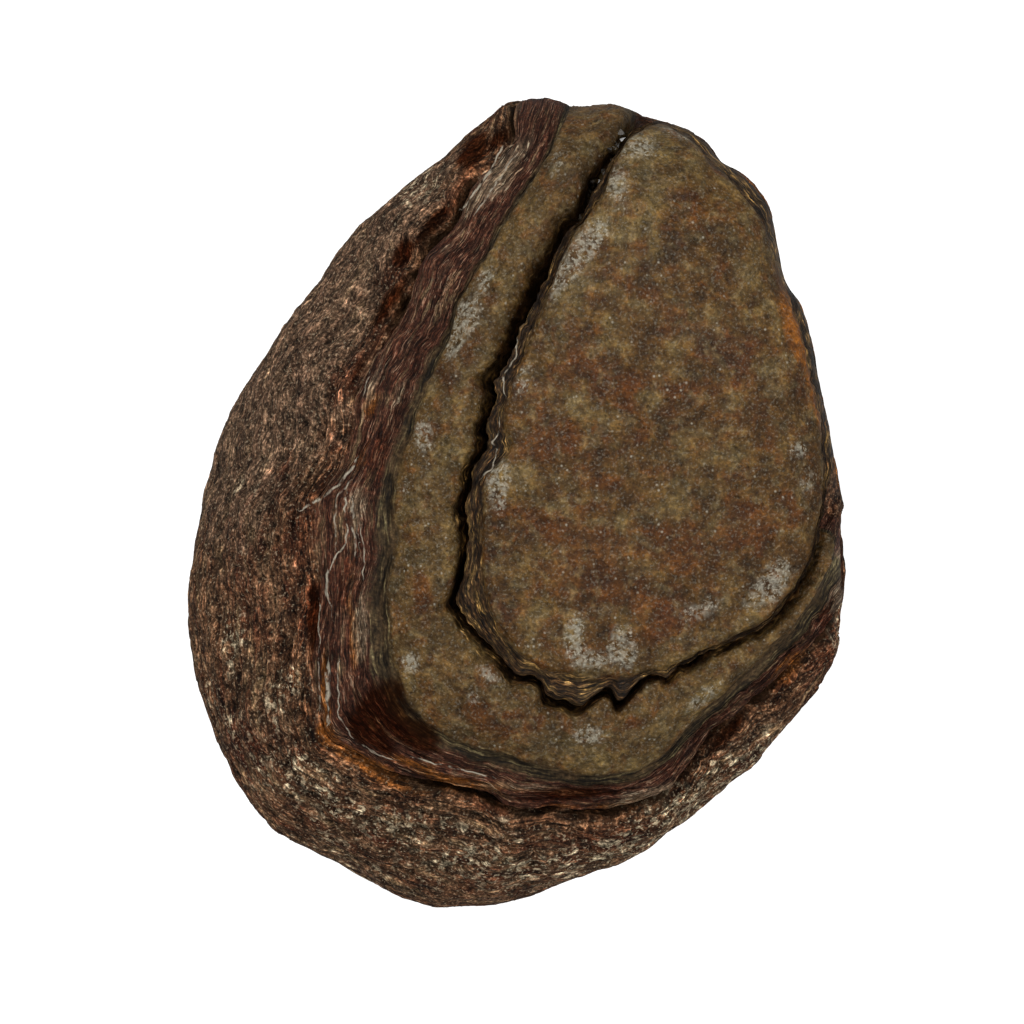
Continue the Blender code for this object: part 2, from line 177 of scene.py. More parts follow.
# How far out each station lies on a stretch of usual width, from the middle of the lens to the back
ACROSS = [
    0.0, 5.2, 10.0, 14.0, 17.4, 19.4, 20.1, 21.6, 23.0, 24.0, 24.6, 25.8, 29.6, 33.0, 33.9, 34.8, 37.6,
    38.4, 41.2, 42.4, 42.8, 43.8, 48.0, 52.4, 56.0, 59.0, 67.0, 76.0, 86.0, 97.0, 108.0, 115.0, 122.0,
]

# The stone is dressed in four closed skins, which meet in the fissure, in the crevice and at the
# silhouette. Rows of faces up to each station, and columns of faces
LENS_ROWS = ((1, 16), (2, 18), (3, 18), (4, 16), (5, 10), (6, 8), (7, 14), (8, 18), (8.5, 6))
RING_ROWS = ((9, 4), (10, 9), (11, 8), (12, 18), (13, 16), (14, 6), (15, 6), (16, 12), (17, 5), (18, 14),
             (19, 7), (20, 4))
RIND_ROWS = ((21, 6), (22, 30), (23, 32), (24, 27), (25, 19))
BACK_ROWS = ((26, 14), (27, 24), (28, 24), (29, 26), (30, 22), (31, 4), (32, 3))
LENS_COLUMNS = 730
RING_COLUMNS = 820
RIND_COLUMNS = 780

# Hidden bowls by which one skin sits in the next: height of the pole, and how fast the bowl drops
BOWL_ROWS = 5
LENS_UNDERSIDE = (40.0, 1.2)
RING_SOCKET = (36.0, 1.5)
RING_UNDERSIDE = (30.0, 1.5)
RIND_SOCKET = (26.0, 2.0)
RIND_UNDERSIDE = (18.0, 2.0)
BACK_SOCKET = (14.0, 2.6)
TUCK_DEPTH = 0.6
TUCK_STATIONS = 0.35
SEAM_GAP = 1e-7

# How far the edges of the finishes wander, in millimetres
EDGE_WOBBLE = 1.4

# Where the bands turn under the right flank, only a worn crust shows: degrees about the lens
CRUSTED_SECTOR = ((-36, -22), (86, 98))

# Colour patches, as (x, y, half length, half width, degrees of the long axis, strength)
PATCHES = {
    "honey": [
        (20, 36.6, 2.6, 1.5, 0, 0.7), (22.5, 33, 2.5, 2, 0, 0.5), (16, 24.5, 4, 1.4, -30, 0.7),
        (9, 17, 4, 2.3, 0, 0.6), (3, 13.5, 3, 2, 10, 0.7), (13, 14, 4, 2, 20, 0.6),
        (20, 13, 3, 2, -30, 0.5), (28, 14, 3, 3, 0, 0.6), (4.5, 8, 4, 2.3, -10, 0.9),
        (14, 7, 3, 2.5, 0, 0.5), (9, 3, 4, 1.4, -20, 0.7), (3.5, -2.5, 5, 1.9, -15, 1),
        (10.5, -5.5, 4, 2.6, 0, 0.8), (20, -6, 4, 2.4, -20, 0.9), (27.5, -2.5, 3.4, 3, 0, 0.9),
        (18, -14, 3.4, 2.4, 20, 1), (4, -10, 4, 2, 10, 0.6), (12, -10.5, 4, 2.4, 0, 0.8),
        (33, -1, 2, 3, 0, 0.4), (-11.3, -10, 1.1, 2.4, 0, 1), (-0.5, -26, 3.6, 1.6, 0, 1),
        (-4.5, -24.6, 2.2, 1.3, -20, 0.9), (15, -26, 2, 1.6, 0, 0.6), (-10.6, -16, 1, 2.4, 0, 0.4),
    ],
    "plum": [
        (25, 18, 4, 2, -15, 1), (28.5, 11, 2.5, 2.5, 0, 0.5), (16, 19, 2, 2, 0, 0.5),
        (14, 8, 2, 2, 0, 0.4), (30, 24, 2, 3, 0, 0.3), (21.5, 21.6, 2.5, 1.2, 0, 0.4),
        (-1.5, -12.5, 2.2, 2.8, 0, 0.8), (-8, 15, 1.8, 3.2, 15, 0.6), (0, -26, 2.4, 1.4, 0, 0.6),
        (18, -14, 2.6, 1.8, 20, 0.6),
    ],
    "olive": [
        (14, 37, 5, 7, 0, 0.8), (17, 43, 5, 2, 0, 0.5), (-8, 14, 2, 6, 15, 0.3),
        (-8.5, 5, 2.5, 4, 0, 0.5), (20.5, 21.5, 4, 1.6, -35, 0.7), (24, -3, 1.3, 4.5, -30, 0.9),
        (20, 3, 5, 2, 0, 0.4), (10, -30.5, 6, 1.3, 0, 0.7), (5, 22, 3, 5, 20, 0.5),
        (22, -23.5, 4, 1.3, 40, 0.7), (6, -28, 4, 1.5, 0, 0.4), (27, 33, 3, 4, 0, 0.4),
    ],
    "frost": [
        (7, -15.5, 1.1, 2.2, 0, 1), (8.5, -18.6, 2.1, 1.1, 0, 0.9), (12.8, -17, 1.5, 2.4, 10, 1),
        (-1.5, -12.5, 2, 2.6, 0, 0.15), (-2.2, 3, 1.3, 3.2, 0, 0.9), (8.6, 31, 1.8, 3, -30, 0.8),
        (12, 38, 1.5, 2.2, 0, 0.7), (14.5, 42.6, 2, 1.4, 0, 0.8), (5.2, 27, 1.6, 3, -20, 0.6),
        (22, -12.5, 4, 1.4, 20, 0.5), (30.4, -9.5, 3.2, 1.6, 50, 1), (33.6, 6.5, 1, 0.9, 0, 0.9),
        (36.8, 9, 0.5, 5, 6, 0.9), (34.6, 2.5, 1.2, 2, 0, 0.5), (-3, -20.5, 1.5, 0.9, -20, 0.7),
        (-6, 22, 1.9, 1.4, 60, 1), (-7.5, 18.6, 1.5, 1, 60, 0.7), (-11, 8, 1, 2, 0, 0.9),
        (-12.8, 2, 0.9, 1.4, 0, 0.5), (-12.6, -19, 1.1, 1.1, 0, 0.9), (8.6, -27.6, 2, 0.9, 0, 0.9),
        (22.5, -23, 3, 0.8, 40, 0.6), (-3.6, 26.5, 0.9, 2, -30, 0.6), (0.4, 38, 0.9, 3, -25, 0.5),
        (5, 41, 1, 2.5, -20, 0.4), (19.5, 44.3, 2.4, 0.8, -20, 0.7), (1, 15, 1, 3, -20, 0.5),
        (-9, -5, 1.4, 3, 0, 0.3), (-5, -23.2, 1, 0.7, 0, 0.6),
    ],
    "amber": [
        (33.6, 21, 1.7, 5, 18, 1), (36, 12, 0.8, 4, 10, 0.6), (35.8, 18, 1.2, 6, 12, 0.9),
        (37.9, 9, 0.9, 6, 6, 0.7), (29.5, 36.4, 4, 1.3, -52, 0.55),
    ],
    "rust": [
        (27.5, 40, 4, 1.6, -48, 1), (31.5, 33.5, 4, 1, -75, 1), (23, 43.6, 3, 1, -35, 0.7),
        (36.5, -19, 4, 1.4, 60, 0.8), (-21, 14, 1.5, 2.6, -25, 1), (-14.5, 28, 1.2, 3, -40, 0.9),
        (-16.6, 20, 1, 4, -35, 0.9), (-25.3, -3, 1.5, 4, 0, 0.9), (-25, -13, 1.6, 5, 0, 0.9),
        (-20.5, -9, 1.5, 4, 0, 0.7), (-6, 37, 2, 4, -40, 0.6), (8, -35, 8, 0.8, 5, 0.9),
        (-7, -32, 4, 0.9, -15, 0.7), (-33, -29, 2, 4, 30, 0.8), (37.6, -14, 1.4, 5, 10, 1),
        (30, -22, 3, 1, 45, 0.5), (-16, 6, 1.5, 4, -20, 0.7), (28.5, 37.5, 2.6, 1, -50, 0.9),
        (32.6, 25, 0.8, 3, 20, 0.8), (-4, -45, 6, 1.5, 0, 0.5), (-33, -10, 2.5, 9, 8, 0.5),
        (-28, -29, 5, 3, -45, 0.45), (-18, -40, 7, 2, -25, 0.5), (12, -40, 6, 2, 20, 0.5),
        (-28, 4, 4, 1.5, 20, 0.4), (8, -40, 5, 1.2, 5, 0.6),
    ],
    "ochre": [
        (-12, -31.3, 5, 0.6, -20, 0.8), (-3, -33.6, 5, 0.5, -8, 0.7), (8, -36.2, 6, 0.4, 0, 0.5),
        (14, -36, 3, 1, 15, 0.4), (-23, -27.5, 0.9, 1.4, 0, 1), (-20, -30, 3, 0.9, -35, 1),
        (-15.5, -32.5, 3, 0.9, -30, 1), (-19.4, -16, 0.7, 4, 0, 0.6), (-8, -33.4, 3, 0.7, -15, 0.6),
        (33, -19, 3, 0.9, 50, 0.6), (-22.8, -22, 0.5, 4, 0, 0.7), (-17, 12, 1, 2, -25, 0.5),
        (-18.6, 5, 0.8, 2, -20, 0.5),
    ],
    # Umber brown in the lower left corner; the other patches of this kind are painted shade, in the jasper's
    # pits, along the crevice and faintly on the upper right flank
    "umber_and_shade": [
        (-15.5, -23.5, 2.4, 3.4, 0, 0.8), (-11.5, -28, 3.0, 2.1, -30, 0.8), (-19, -25, 2.4, 2.4, 0, 0.4),
        (-24.2, -14, 0.8, 5, 0, 0.8), (-5, 42.3, 2.6, 1.4, 52, 1), (-1.5, 44, 1.5, 0.8, 50, 0.8),
        (-13.5, 30, 2, 1, 45, 0.9), (-10, 33.4, 2.5, 0.9, 48, 0.9), (25, -27.6, 3.4, 0.9, 45, 0.8),
        (-15.2, 24, 0.9, 4, -35, 0.8), (-18.8, 16, 0.8, 3, -30, 0.6), (-9.6, 24.5, 1, 2, -30, 0.15),
        (28, 40, 4, 1.0, -48, 0.15), (32.2, 32.6, 5, 0.9, -75, 0.15), (24, 43.6, 3, 0.8, -35, 0.2),
        (6, -34.6, 6, 0.8, 0, 0.85), (-17, -28.4, 3, 1.2, -35, 0.7),
    ],
    "cream": [
        (-2, -43, 20, 4, 0, 0.5), (-27, -33, 9, 4, -42, 0.5), (23, -35, 9, 3, 42, 0.8),
        (16, -37.5, 4, 2, 30, 0.7), (-15, -38, 3, 1.4, -10, 1), (-25, -33, 2.6, 1.5, -20, 0.8),
        (-5, -42.6, 3, 1.2, 0, 0.8), (2, -43.6, 3, 1, 10, 0.6), (18, -39.2, 3.4, 1.1, 40, 1),
        (27, -31, 3.4, 0.9, 45, 1), (-34, -16, 1.5, 3, 0, 0.8), (-28, -22, 2, 3, -30, 0.7),
        (-14, 13, 0.9, 2.6, -20, 0.5), (-16.6, 14.6, 0.8, 2.6, -25, 0.6), (-19, -0.5, 1.4, 3, 0, 0.6),
        (-18.4, -15, 0.9, 4, 0, 0.9), (-11.5, 38.4, 3, 2, 40, 0.8), (-2.3, 39, 1.2, 5.5, -40, 1),
        (-9, 26, 1.2, 5, -30, 0.2), (38.4, -14, 1, 4, 8, 0.8), (38.6, -10, 0.6, 6, 4, 0.7),
        (16, -35, 4, 1.0, 15, 0.9), (-21, -36, 3, 1.2, -25, 0.6), (-9, -38, 2.5, 1.2, -10, 0.5),
        (-33, 2, 2, 1.5, 0, 0.4), (2, -34, 8, 0.5, -5, 0.7), (-36, -24, 1, 4, 20, 0.5),
        (9, -42, 3, 1, 15, 0.6),
    ],
    "dust": [(-27, 17, 16, 9, 58, 1), (-14, 36, 8, 4, 45, 1), (-34, 0, 4, 8, 0, 0.5)],
}
PLAN_FADES_FROM = 26.0
PLAN_FADES_TO = 12.0

# Pale chalcedony veins: half width, then the points of the vein. No vein of a set lies near another
VEINS = {
    "vein": [
        (0.10, [(-20.2, 1.1), (-20.5, -0.7), (-20.2, -2.7), (-20.25, -4.7), (-21.4, -6.1), (-22.7, -8.5),
                (-22.6, -10.5), (-21.9, -13.5)]),
        (0.15, [(-25.5, -0.6), (-23.3, 0.6), (-21.1, 2.2), (-19, 5.1)]),
        (0.17, [(-22.4, -19), (-22.5, -22), (-22.4, -26.2)]),
        (0.08, [(-2.0, 9.7), (-2.0, 8.5), (-3.0, 7.25), (-2.2, 6.3), (-2.8, 4.5), (-4.0, 3.3)]),
        (0.08, [(0.1, 19.3), (0.1, 17.8), (-1.6, 14.8), (-1.4, 13.1)]),
        (0.12, [(-1.5, 42.8), (-3.4, 39.5), (-6.2, 35.4)]),
        (0.07, [(-12, -30.4), (-6, -31.9), (-3, -32.6)]),
    ],
    "fine_vein": [
        (0.10, [(-19.95, 2.5), (-21.4, 0.5), (-21.5, -1.8), (-21.6, -5)]),
        (0.13, [(-19.45, 0.2), (-19.7, -2.7), (-19.1, -4.1), (-19.1, -5.6)]),
        (0.07, [(-18.4, -3), (-18.1, -6.5), (-18.3, -9)]),
        (0.07, [(-21.2, -19), (-21.2, -25.5), (-19, -28.6), (-15, -30.6)]),
        (0.07, [(-23.5, -12), (-23.5, -24.5)]),
        (0.10, [(-0.2, 41.4), (-2.2, 38.4), (-5, 34.4)]),
        (0.07, [(-17.6, 15.5), (-18.2, 13)]),
    ],
}
VEIN_SHADES = {"vein": "#c6bba6", "fine_vein": "#b3a794"}
VEIN_FADES = 0.9
VEIN_SWAY = (1.1, 0.28)

# Where each kind of stone has its relief: stations where it starts, is full, is still full and ends
LENS_QUARTZ = (-2, -1, 5.2, 6)
RING_QUARTZ = (9.8, 10.6, 12.4, 13.1)
LAMINATED_WALL = (5.6, 6.4, 8.4, 9.2)
DARK_LAYERS = (12.7, 13.3, 15, 15.8)
JASPER_LEDGES = (14.8, 15.8, 21.2, 22.6)
RIND_CRUMBS = (19.6, 21.2, REST_STATION - 1.2, REST_STATION - 0.1)
WAVY_BANDS = (4.5, 6, 19.4, 20.6)
CRIMPED_WALLS = (5.6, 7.4, 9.6, 11.5)
# Stations of the painted shade in the open crevice
OPEN_CREVICE = (19, 19.7, 20.2, 20.9)

# How the laminated wall bulges over the fissure: stations, millimetres, and the depth where it is full
WALL_BULGES = (6, 7.5, 7.7, 8.1)
WALL_BULGE = 2.5
FULL_BULGE_DEPTH = 5

# The dark band is wider below: degrees about the lens, places across, and millimetres
BELOW_LENS = (-125, -100, -45, -25)
WIDER_BAND = (33.4, 34.8, 36.2, 38.6)
WIDER_BY = 1.2

# Depths over which painted shade turns the stone black. The quartz rolls softly into the upper fissure,
# with painted shade: (degrees, millimetres), (degrees, share of shade), and the share of the darkest
PAINTED_SHADE_DEPTHS = (3.3, 5.6)
ROLLED_WIDTH = [(0, 0.3), (70, 0.5), (95, 1.3), (125, 1.3), (150, 0.7), (200, 0.4), (270, 0.4), (330, 0.3)]
ROLLED_SHADE = [(0, 0.3), (70, 0.5), (95, 1.0), (125, 0.9), (150, 0.4), (200, 0.3), (270, 0.35), (330, 0.5)]
ROLLED_SHARE = 0.4
# The share of painted shade in the open crevice
CREVICE_SHADE_SHARE = 0.95

# Random tables of the fine noise, the step between its seeds, what each layer's bumps are finer by,
# and what brings each noise to about -1 to 1
TABLE_MASK = 4095
SEED_STEP = 17.31
FINER_BY = 2.03
BUMP_GAIN = 1.6
LAYER_GAIN = 1.4
FACET_SEED_STEP = 23.7
FACET_SCATTER = 0.42
SHUFFLED = np.random.RandomState(11).permutation(TABLE_MASK + 1)
DIRECTIONS = np.random.RandomState(12).normal(size=(TABLE_MASK + 1, 3))
DIRECTIONS /= np.linalg.norm(DIRECTIONS, axis=1, keepdims=True)

# The druse in the upper fissure
CRUST_DEGREES = (98.0, 138.0)
CRUST_RISE = 1.5
CRUST_THICKNESS = 1.0
CRUST_SHARE_OF_WIDTH = 0.62
CRYSTAL_COUNT = 420
CRYSTAL_RADIUS = (0.22, 0.5)
CRYSTAL_SEED = 23

# Camera: the picture's width at the height of the silhouette, and where its middle looks
PICTURE_WIDTH = 122.88
PICTURE_MIDDLE = (-0.48, -1.02)
SILHOUETTE_LEVEL = 36.0
CAMERA_DISTANCE = 2200.0
SENSOR_WIDTH = 36.0

# Soft lamps, each a metre from a point over the middle of the stone: degrees round and up, metres, watts
LAMPS = {
    "key_lamp": (125, 46, 0.45, 6.6),
    "fill_lamp": (-60, 38, 0.7, 3.8),
    "side_lamp": (20, 28, 0.6, 2.8),
    "low_lamp": (215, 40, 0.6, 1.4),
}
LAMPS_AIM = (0, 0, 0.03)
LAMP_DISTANCE = 1.0
ROOM_LIGHT = 0.3
FLOOR_SIZE = 4
FLOOR_GLOW = 0.95


def linear(colour):
    """An sRGB hex colour as the linear values that a shader reads."""
    channels = [int(colour[place:place + 2], 16) / 255 for place in (1, 3, 5)]
    return (*[c / 12.92 if c <= 0.04045 else ((c + 0.055) / 1.055) ** 2.4 for c in channels], 1)


def around(knots, angle):
    """Smooth values all the way round, through knots of (degrees, value). angle is in radians."""
    knots = sorted((math.radians(degrees) % math.tau, value) for degrees, value in knots)
    before = [(at - math.tau, value) for at, value in knots[-2:]]
    after = [(at + math.tau, value) for at, value in knots[:2]]
    place, value = np.array(before + knots + after).T
    slope = np.gradient(value, place)
    angle = np.asarray(angle) % math.tau
    left = np.clip(np.searchsorted(place, angle, side="right") - 1, 0, len(place) - 2)
    span = place[left + 1] - place[left]
    t = (angle - place[left]) / span
    from_left = (1 + 2 * t) * value[left] + t * span * slope[left]
    from_right = (3 - 2 * t) * value[left + 1] - (1 - t) * span * slope[left + 1]
    return (1 - t) ** 2 * from_left + t ** 2 * from_right


def reach(outline, angle):
    """Distance of a closed outline from the middle of the lens."""
    middle_x, middle_y = LENS_MIDDLE
    knots = []
    for x, y in outline:
        degrees = math.degrees(math.atan2(y - middle_y, x - middle_x))
        knots.append((degrees, math.hypot(x - middle_x, y - middle_y)))
    return around(knots, angle)


def column_angles(columns):
    """Angles of the columns, which crowd together on the left, where the bands are widest."""
    even = np.arange(columns) * math.tau / columns
    return even - CROWDING * np.sin(even - math.radians(CROWDED_DEGREES))


def smooth_cobble(angle, turn):
    """The cobble without relief. turn is 0 at the middle of the lens and half pi at the silhouette."""
    edge = reach(SILHOUETTE, angle)
    equator = around(EQUATOR_HEIGHT, angle)
    roundness = around(FACE_ROUNDNESS, angle)
    out = np.abs(np.sin(turn))
    up = np.abs(np.cos(turn))
    face = out ** (2 / roundness)
    flank_height = equator + (TOP_HEIGHT - equator) * up ** (2 / (0.5 * roundness + 1))
    bow_height = TOP_HEIGHT - LENS_BOW * (face * edge) ** 2
    flank = np.clip(face / LENS_SHARE, 0, 1) ** 2
    face_height = bow_height + flank * (3 - 2 * flank) * (flank_height - bow_height)
    back = out ** around(BACK_FULLNESS, angle)
    back_height = np.maximum(0, equator - (equator + REST_SINK) * up ** REST_FULLNESS)
    on_face = turn <= math.pi / 2
    share = np.where(on_face, face, back)
    middle_x = np.where(on_face, LENS_MIDDLE[0], REST_MIDDLE[0])
    middle_y = np.where(on_face, LENS_MIDDLE[1], REST_MIDDLE[1])
    x = middle_x + (LENS_MIDDLE[0] + edge * np.cos(angle) - middle_x) * share
    y = middle_y + (LENS_MIDDLE[1] + edge * np.sin(angle) - middle_y) * share
    return np.stack([x, y, np.where(on_face, face_height, back_height)], axis=-1)


def outward(angle, turn):
    """Unit normals of the smooth cobble."""
    step = 0.004
    turn = np.clip(turn, 3 * step, math.pi - 3 * step)
    along = smooth_cobble(angle + step, turn) - smooth_cobble(angle - step, turn)
    down = smooth_cobble(angle, turn + step) - smooth_cobble(angle, turn - step)
    normal = np.cross(down, along)
    return normal / np.linalg.norm(normal, axis=-1, keepdims=True)


def turn_of(distance, angle):
    """The turn at a distance from the middle of the lens, measured in plan and then down the side wall."""
    edge = reach(SILHOUETTE, angle)
    roundness = around(FACE_ROUNDNESS, angle)
    on_face = np.arcsin(np.clip(distance / edge, 0, 1) ** (roundness / 2))
    return np.where(distance < edge, on_face, math.pi / 2 + (distance - edge) / WALL_PER_RADIAN)


def rest_turn(angle):
    """The turn at which the back meets the flat rest spot."""
    equator = around(EQUATOR_HEIGHT, angle)
    return math.pi - np.arccos((equator / (equator + REST_SINK)) ** (1 / REST_FULLNESS))


def face_stations(angle):
    """Stations from the lens to the rind: distance, relief, shares of quartz and rind lumps."""
    lip = reach(LENS_LIP, angle)
    fissure = np.maximum(reach(FISSURE, angle), lip + LEAST_FISSURE)
    half = around(FISSURE_WIDTH, angle) / 2
    deep = around(FISSURE_DEPTH, angle)
    wall_foot = np.maximum(fissure - half, lip + LEAST_WALL)
    wall_middle = lip + 0.55 * (wall_foot - lip)
    ring_lip = fissure + half + LIP_BEVEL
    ring = np.maximum(reach(RING_EDGE, angle), ring_lip + LEAST_RING)
    dark = ring + around(DARK_WIDTH, angle)
    crevice = np.maximum(reach(CREVICE, angle), dark + LEAST_JASPER)
    ditch = around(CREVICE_DEPTH, angle)
    rows = [
        (0, 0, 0, 0),
        (0.26 * lip, 0.2, 0.3, 0),
        (0.50 * lip, 0.1, 0.8, 0),
        (0.70 * lip, 0.0, 1, 0),
        (0.87 * lip, -0.1, 1, 0),
        (lip - 2 * LIP_BEVEL, -0.15, 0.6, 0),
        (lip, -0.7, 0.3, 0),
        (wall_middle, -0.7 - 0.35 * deep, 0, 0),
        (wall_foot, -deep, 0, 0),
        (fissure + half, -deep, 0, 0),
        (ring_lip, -0.7 - 0.12 * deep, 0, 0),
        (ring_lip + 0.16 * (ring - ring_lip), -0.15, 0.6, 0),
        (ring_lip + 0.62 * (ring - ring_lip), 0.15, 1, 0),
        (ring, -0.6, 0.5, 0),
        (0.5 * (ring + dark), -1.35, 0, 0),
        (dark, -1.2, 0, 0.2),
        (dark + 0.34 * (crevice - dark), -1.15, 0, 0.3),
        (dark + 0.46 * (crevice - dark), -0.45, 0, 0.4),
        (dark + 0.82 * (crevice - dark), -0.6, 0, 0.5),
        (crevice - LIP_BEVEL, -0.5 - 0.3 * ditch, 0, 0.4),
        (crevice, -0.5 - ditch, 0, 0.2),
        (crevice + 3 * LIP_BEVEL, 0.1, 0, 0.6),
    ]
    return np.array([[np.broadcast_to(value, angle.shape) for value in row] for row in rows])


def back_stations(angle, shoulder):
    """Stations from the rind to the rest spot: turn, relief, shares of quartz and rind lumps."""
    silhouette = np.maximum(math.pi / 2, shoulder + LEAST_RIND_TURN)
    rows = [(shoulder, 0.1, 0, 0.6)]
    for share in RIND_SHARES:
        rows.append((shoulder + share * (silhouette - shoulder), 0.1, 0, 1 - 0.6 * share))
    rest = rest_turn(angle)
    for share, lumps in BACK_SHARES:
        rows.append((silhouette + share * (rest - silhouette), 0, 0, lumps))
    rows.append((0.5 * (rest + math.pi), 0, 0, 0))
    rows.append((math.pi, 0, 0, 0))
    return np.array([[np.broadcast_to(value, angle.shape) for value in row] for row in rows])


def between(stations, at):
    """Values at fractional stations: 3.5 lies halfway between stations 3 and 4."""
    low = np.clip(np.floor(at).astype(int), 0, len(stations) - 2)
    share = (np.asarray(at) - low).reshape(-1, *[1] * (stations.ndim - 1))
    return stations[low] * (1 - share) + stations[low + 1] * share


def softened(values, rounds):
    """Values evened out along the rows, so that edges are worn round."""
    for _ in range(rounds):
        inner = 0.25 * values[:-2] + 0.5 * values[1:-1] + 0.25 * values[2:]
        values = np.concatenate([values[:1], inner, values[-1:]])
    return values


def lumps(points, spacing, seed):
    """The solid's natural lumps, from about -1 to 1, at points in millimetres."""
    places = (np.asarray(points) / spacing + np.array((seed, 2 * seed, 3 * seed))).reshape(-1, 3)
    values = [noise.fractal(place, 0.9, 2.1, 3) for place in places.tolist()]
    return np.reshape(values, np.shape(points)[:-1])


def shuffled(cell):
    """A row of the random tables for each whole-numbered cell."""
    x, y, z = np.moveaxis(cell, -1, 0)
    return SHUFFLED[(SHUFFLED[(SHUFFLED[x & TABLE_MASK] + y) & TABLE_MASK] + z) & TABLE_MASK]


def bumps(points, seed=0):
    """Smooth noise from about -1 to 1, with one bump to a unit of length."""
    points = np.asarray(points, dtype=float) + SEED_STEP * seed
    cell = np.floor(points).astype(np.int64)
    part = points - cell
    ease = part ** 3 * (part * (part * 6 - 15) + 10)
    total = 0
    for corner in itertools.product((0, 1), repeat=3):
        weight = np.prod(np.where(corner, ease, 1 - ease), axis=-1)
        total = total + weight * np.sum((part - corner) * DIRECTIONS[shuffled(cell + corner)], axis=-1)
    return BUMP_GAIN * total


def layered(points, spacing, seed=0, octaves=4, gain=0.55):
    """Noise with finer bumps on coarser ones, from about -1 to 1. spacing may differ by axis."""
    place = np.asarray(points) / spacing
    parts = [gain ** octave * bumps(place * FINER_BY ** octave, seed + octave) for octave in range(octaves)]
    return sum(parts) / sum(gain ** octave for octave in range(octaves)) * LAYER_GAIN


def facets(points, size, seed=0):
    """Broken crystal faces of a size in millimetres, each a plane with its own tilt, from about -1 to 1."""
    place = np.asarray(points) / size + FACET_SEED_STEP * seed
    cell = np.floor(place).astype(np.int64)
    nearest = np.full(place.shape[:-1], 9.0)
    value = np.zeros(place.shape[:-1])
    for offset in itertools.product((-1, 0, 1), repeat=3):
        row = shuffled(cell + offset)
        away = place - (cell + offset + 0.5 + FACET_SCATTER * DIRECTIONS[row])
        distance = np.sum(away ** 2, axis=-1)
        closer = distance < nearest
        tilted = np.sum(away * DIRECTIONS[(row * 7 + 3) & TABLE_MASK], axis=-1)
        value = np.where(closer, tilted, value)
        nearest = np.where(closer, distance, nearest)
    return value


def ramp(value, low, high):
    """0 up to low, 1 from high on, and a smooth rise between."""
    share = np.clip((np.asarray(value) - low) / (high - low), 0, 1)
    return share * share * (3 - 2 * share)


def window(at, start, full, end_full, end):
    """1 from full to end_full, fading to 0 at start and end."""
    return ramp(at, start, full) * (1 - ramp(at, end_full, end))


def pit_depth(points):
    """How deep the pits in the banded jasper are at each point."""
    depth = 0
    for (pit_x, pit_y), length, width, degrees, deep in PITS:
        lean = math.radians(degrees)
        x, y = points[..., 0] - pit_x, points[..., 1] - pit_y
        along = (x * math.cos(lean) + y * math.sin(lean)) / length
        across = (y * math.cos(lean) - x * math.sin(lean)) / width
        depth = depth + deep * np.exp(-((along ** 2 + across ** 2) ** 1.5))
    return depth * (points[..., 2] > PITS_ABOVE)


def loop_points(angle, across):
    """Places on a drum as wide as the quartz ring: streaks that follow the bands lie straight on it."""
    radius = reach(RING_EDGE, angle)
    x = radius * np.cos(angle)
    y = radius * np.sin(angle)
    steps = np.hypot(np.diff(x, append=x[0]), np.diff(y, append=y[0]))
    girth = steps.sum()
    share = (np.cumsum(steps) - steps) / girth * math.tau
    drum = girth / math.tau
    flat = np.stack([drum * np.cos(share), drum * np.sin(share)], axis=-1)
    rows = len(across)
    return np.concatenate([
        np.broadcast_to(flat, (rows, *flat.shape)),
        np.broadcast_to(np.asarray(across)[:, None, None], (rows, len(angle), 1)),
    ], axis=-1)


def fine_relief(points, loop, at):
    """Relief too fine for the solid, in millimetres, at fractional stations."""
    warped = points + 0.9 * np.stack([bumps(points / 2.7, seed) for seed in (1, 2, 3)], axis=-1)
    total = 0
    ring_quartz = window(at, *RING_QUARTZ)
    quartz = np.maximum(window(at, *LENS_QUARTZ), ring_quartz)
    if quartz.max() > 0:
        broken = 0.16 * facets(warped, 4.6, 1) + 0.10 * facets(warped, 1.4, 2)
        broken = broken + 0.10 * facets(points, 0.7, 3)
        total = quartz * (broken + 0.24 * layered(points, 3.1, seed=4, octaves=5, gain=0.6))
        total += ring_quartz * 0.22 * layered(points, 2.8, seed=6, octaves=2)
    wall = window(at, *LAMINATED_WALL)
    if wall.max() > 0:
        laminae = 0.26 * layered(loop, (5, 5, 0.5), seed=8, octaves=3)
        total += wall * (laminae + 0.10 * layered(points, 1.2, seed=9, octaves=3))
    dark = window(at, *DARK_LAYERS)
    if dark.max() > 0:
        layers = 0.22 * layered(loop, (6, 6, 0.55), seed=11, octaves=3)
        total += dark * (layers + 0.08 * layered(points, 1.1, seed=12, octaves=3))
    jasper = window(at, *JASPER_LEDGES)
    if jasper.max() > 0:
        ledges = 0.62 * layered(loop, (7, 7, 1.0), seed=14)
        total += jasper * (ledges + 0.22 * layered(points, 2.2, seed=15))
    rind = window(at, *RIND_CRUMBS)
    if rind.max() > 0:
        crumbly = 0.40 * layered(points, 4.2, seed=17, octaves=3)
        crumbly = crumbly + 0.42 * layered(loop, (3.4, 3.4, 1.3), seed=18, gain=0.62)
        holes = 0.50 * ramp(layered(warped, 1.5, seed=19, octaves=3), 0.18, 0.55)
        total += rind * (crumbly - holes + 0.18 * facets(warped, 2.2, 5))
    return total


def skin_rows(first, counts):
    """Fractional stations of the rows, with so many rows up to each named station."""
    rows = [first]
    for last, count in counts:
        start = rows[-1]
        rows.extend(start + (last - start) * (row + 1) / count for row in range(count))
    return np.array(rows, dtype=float)


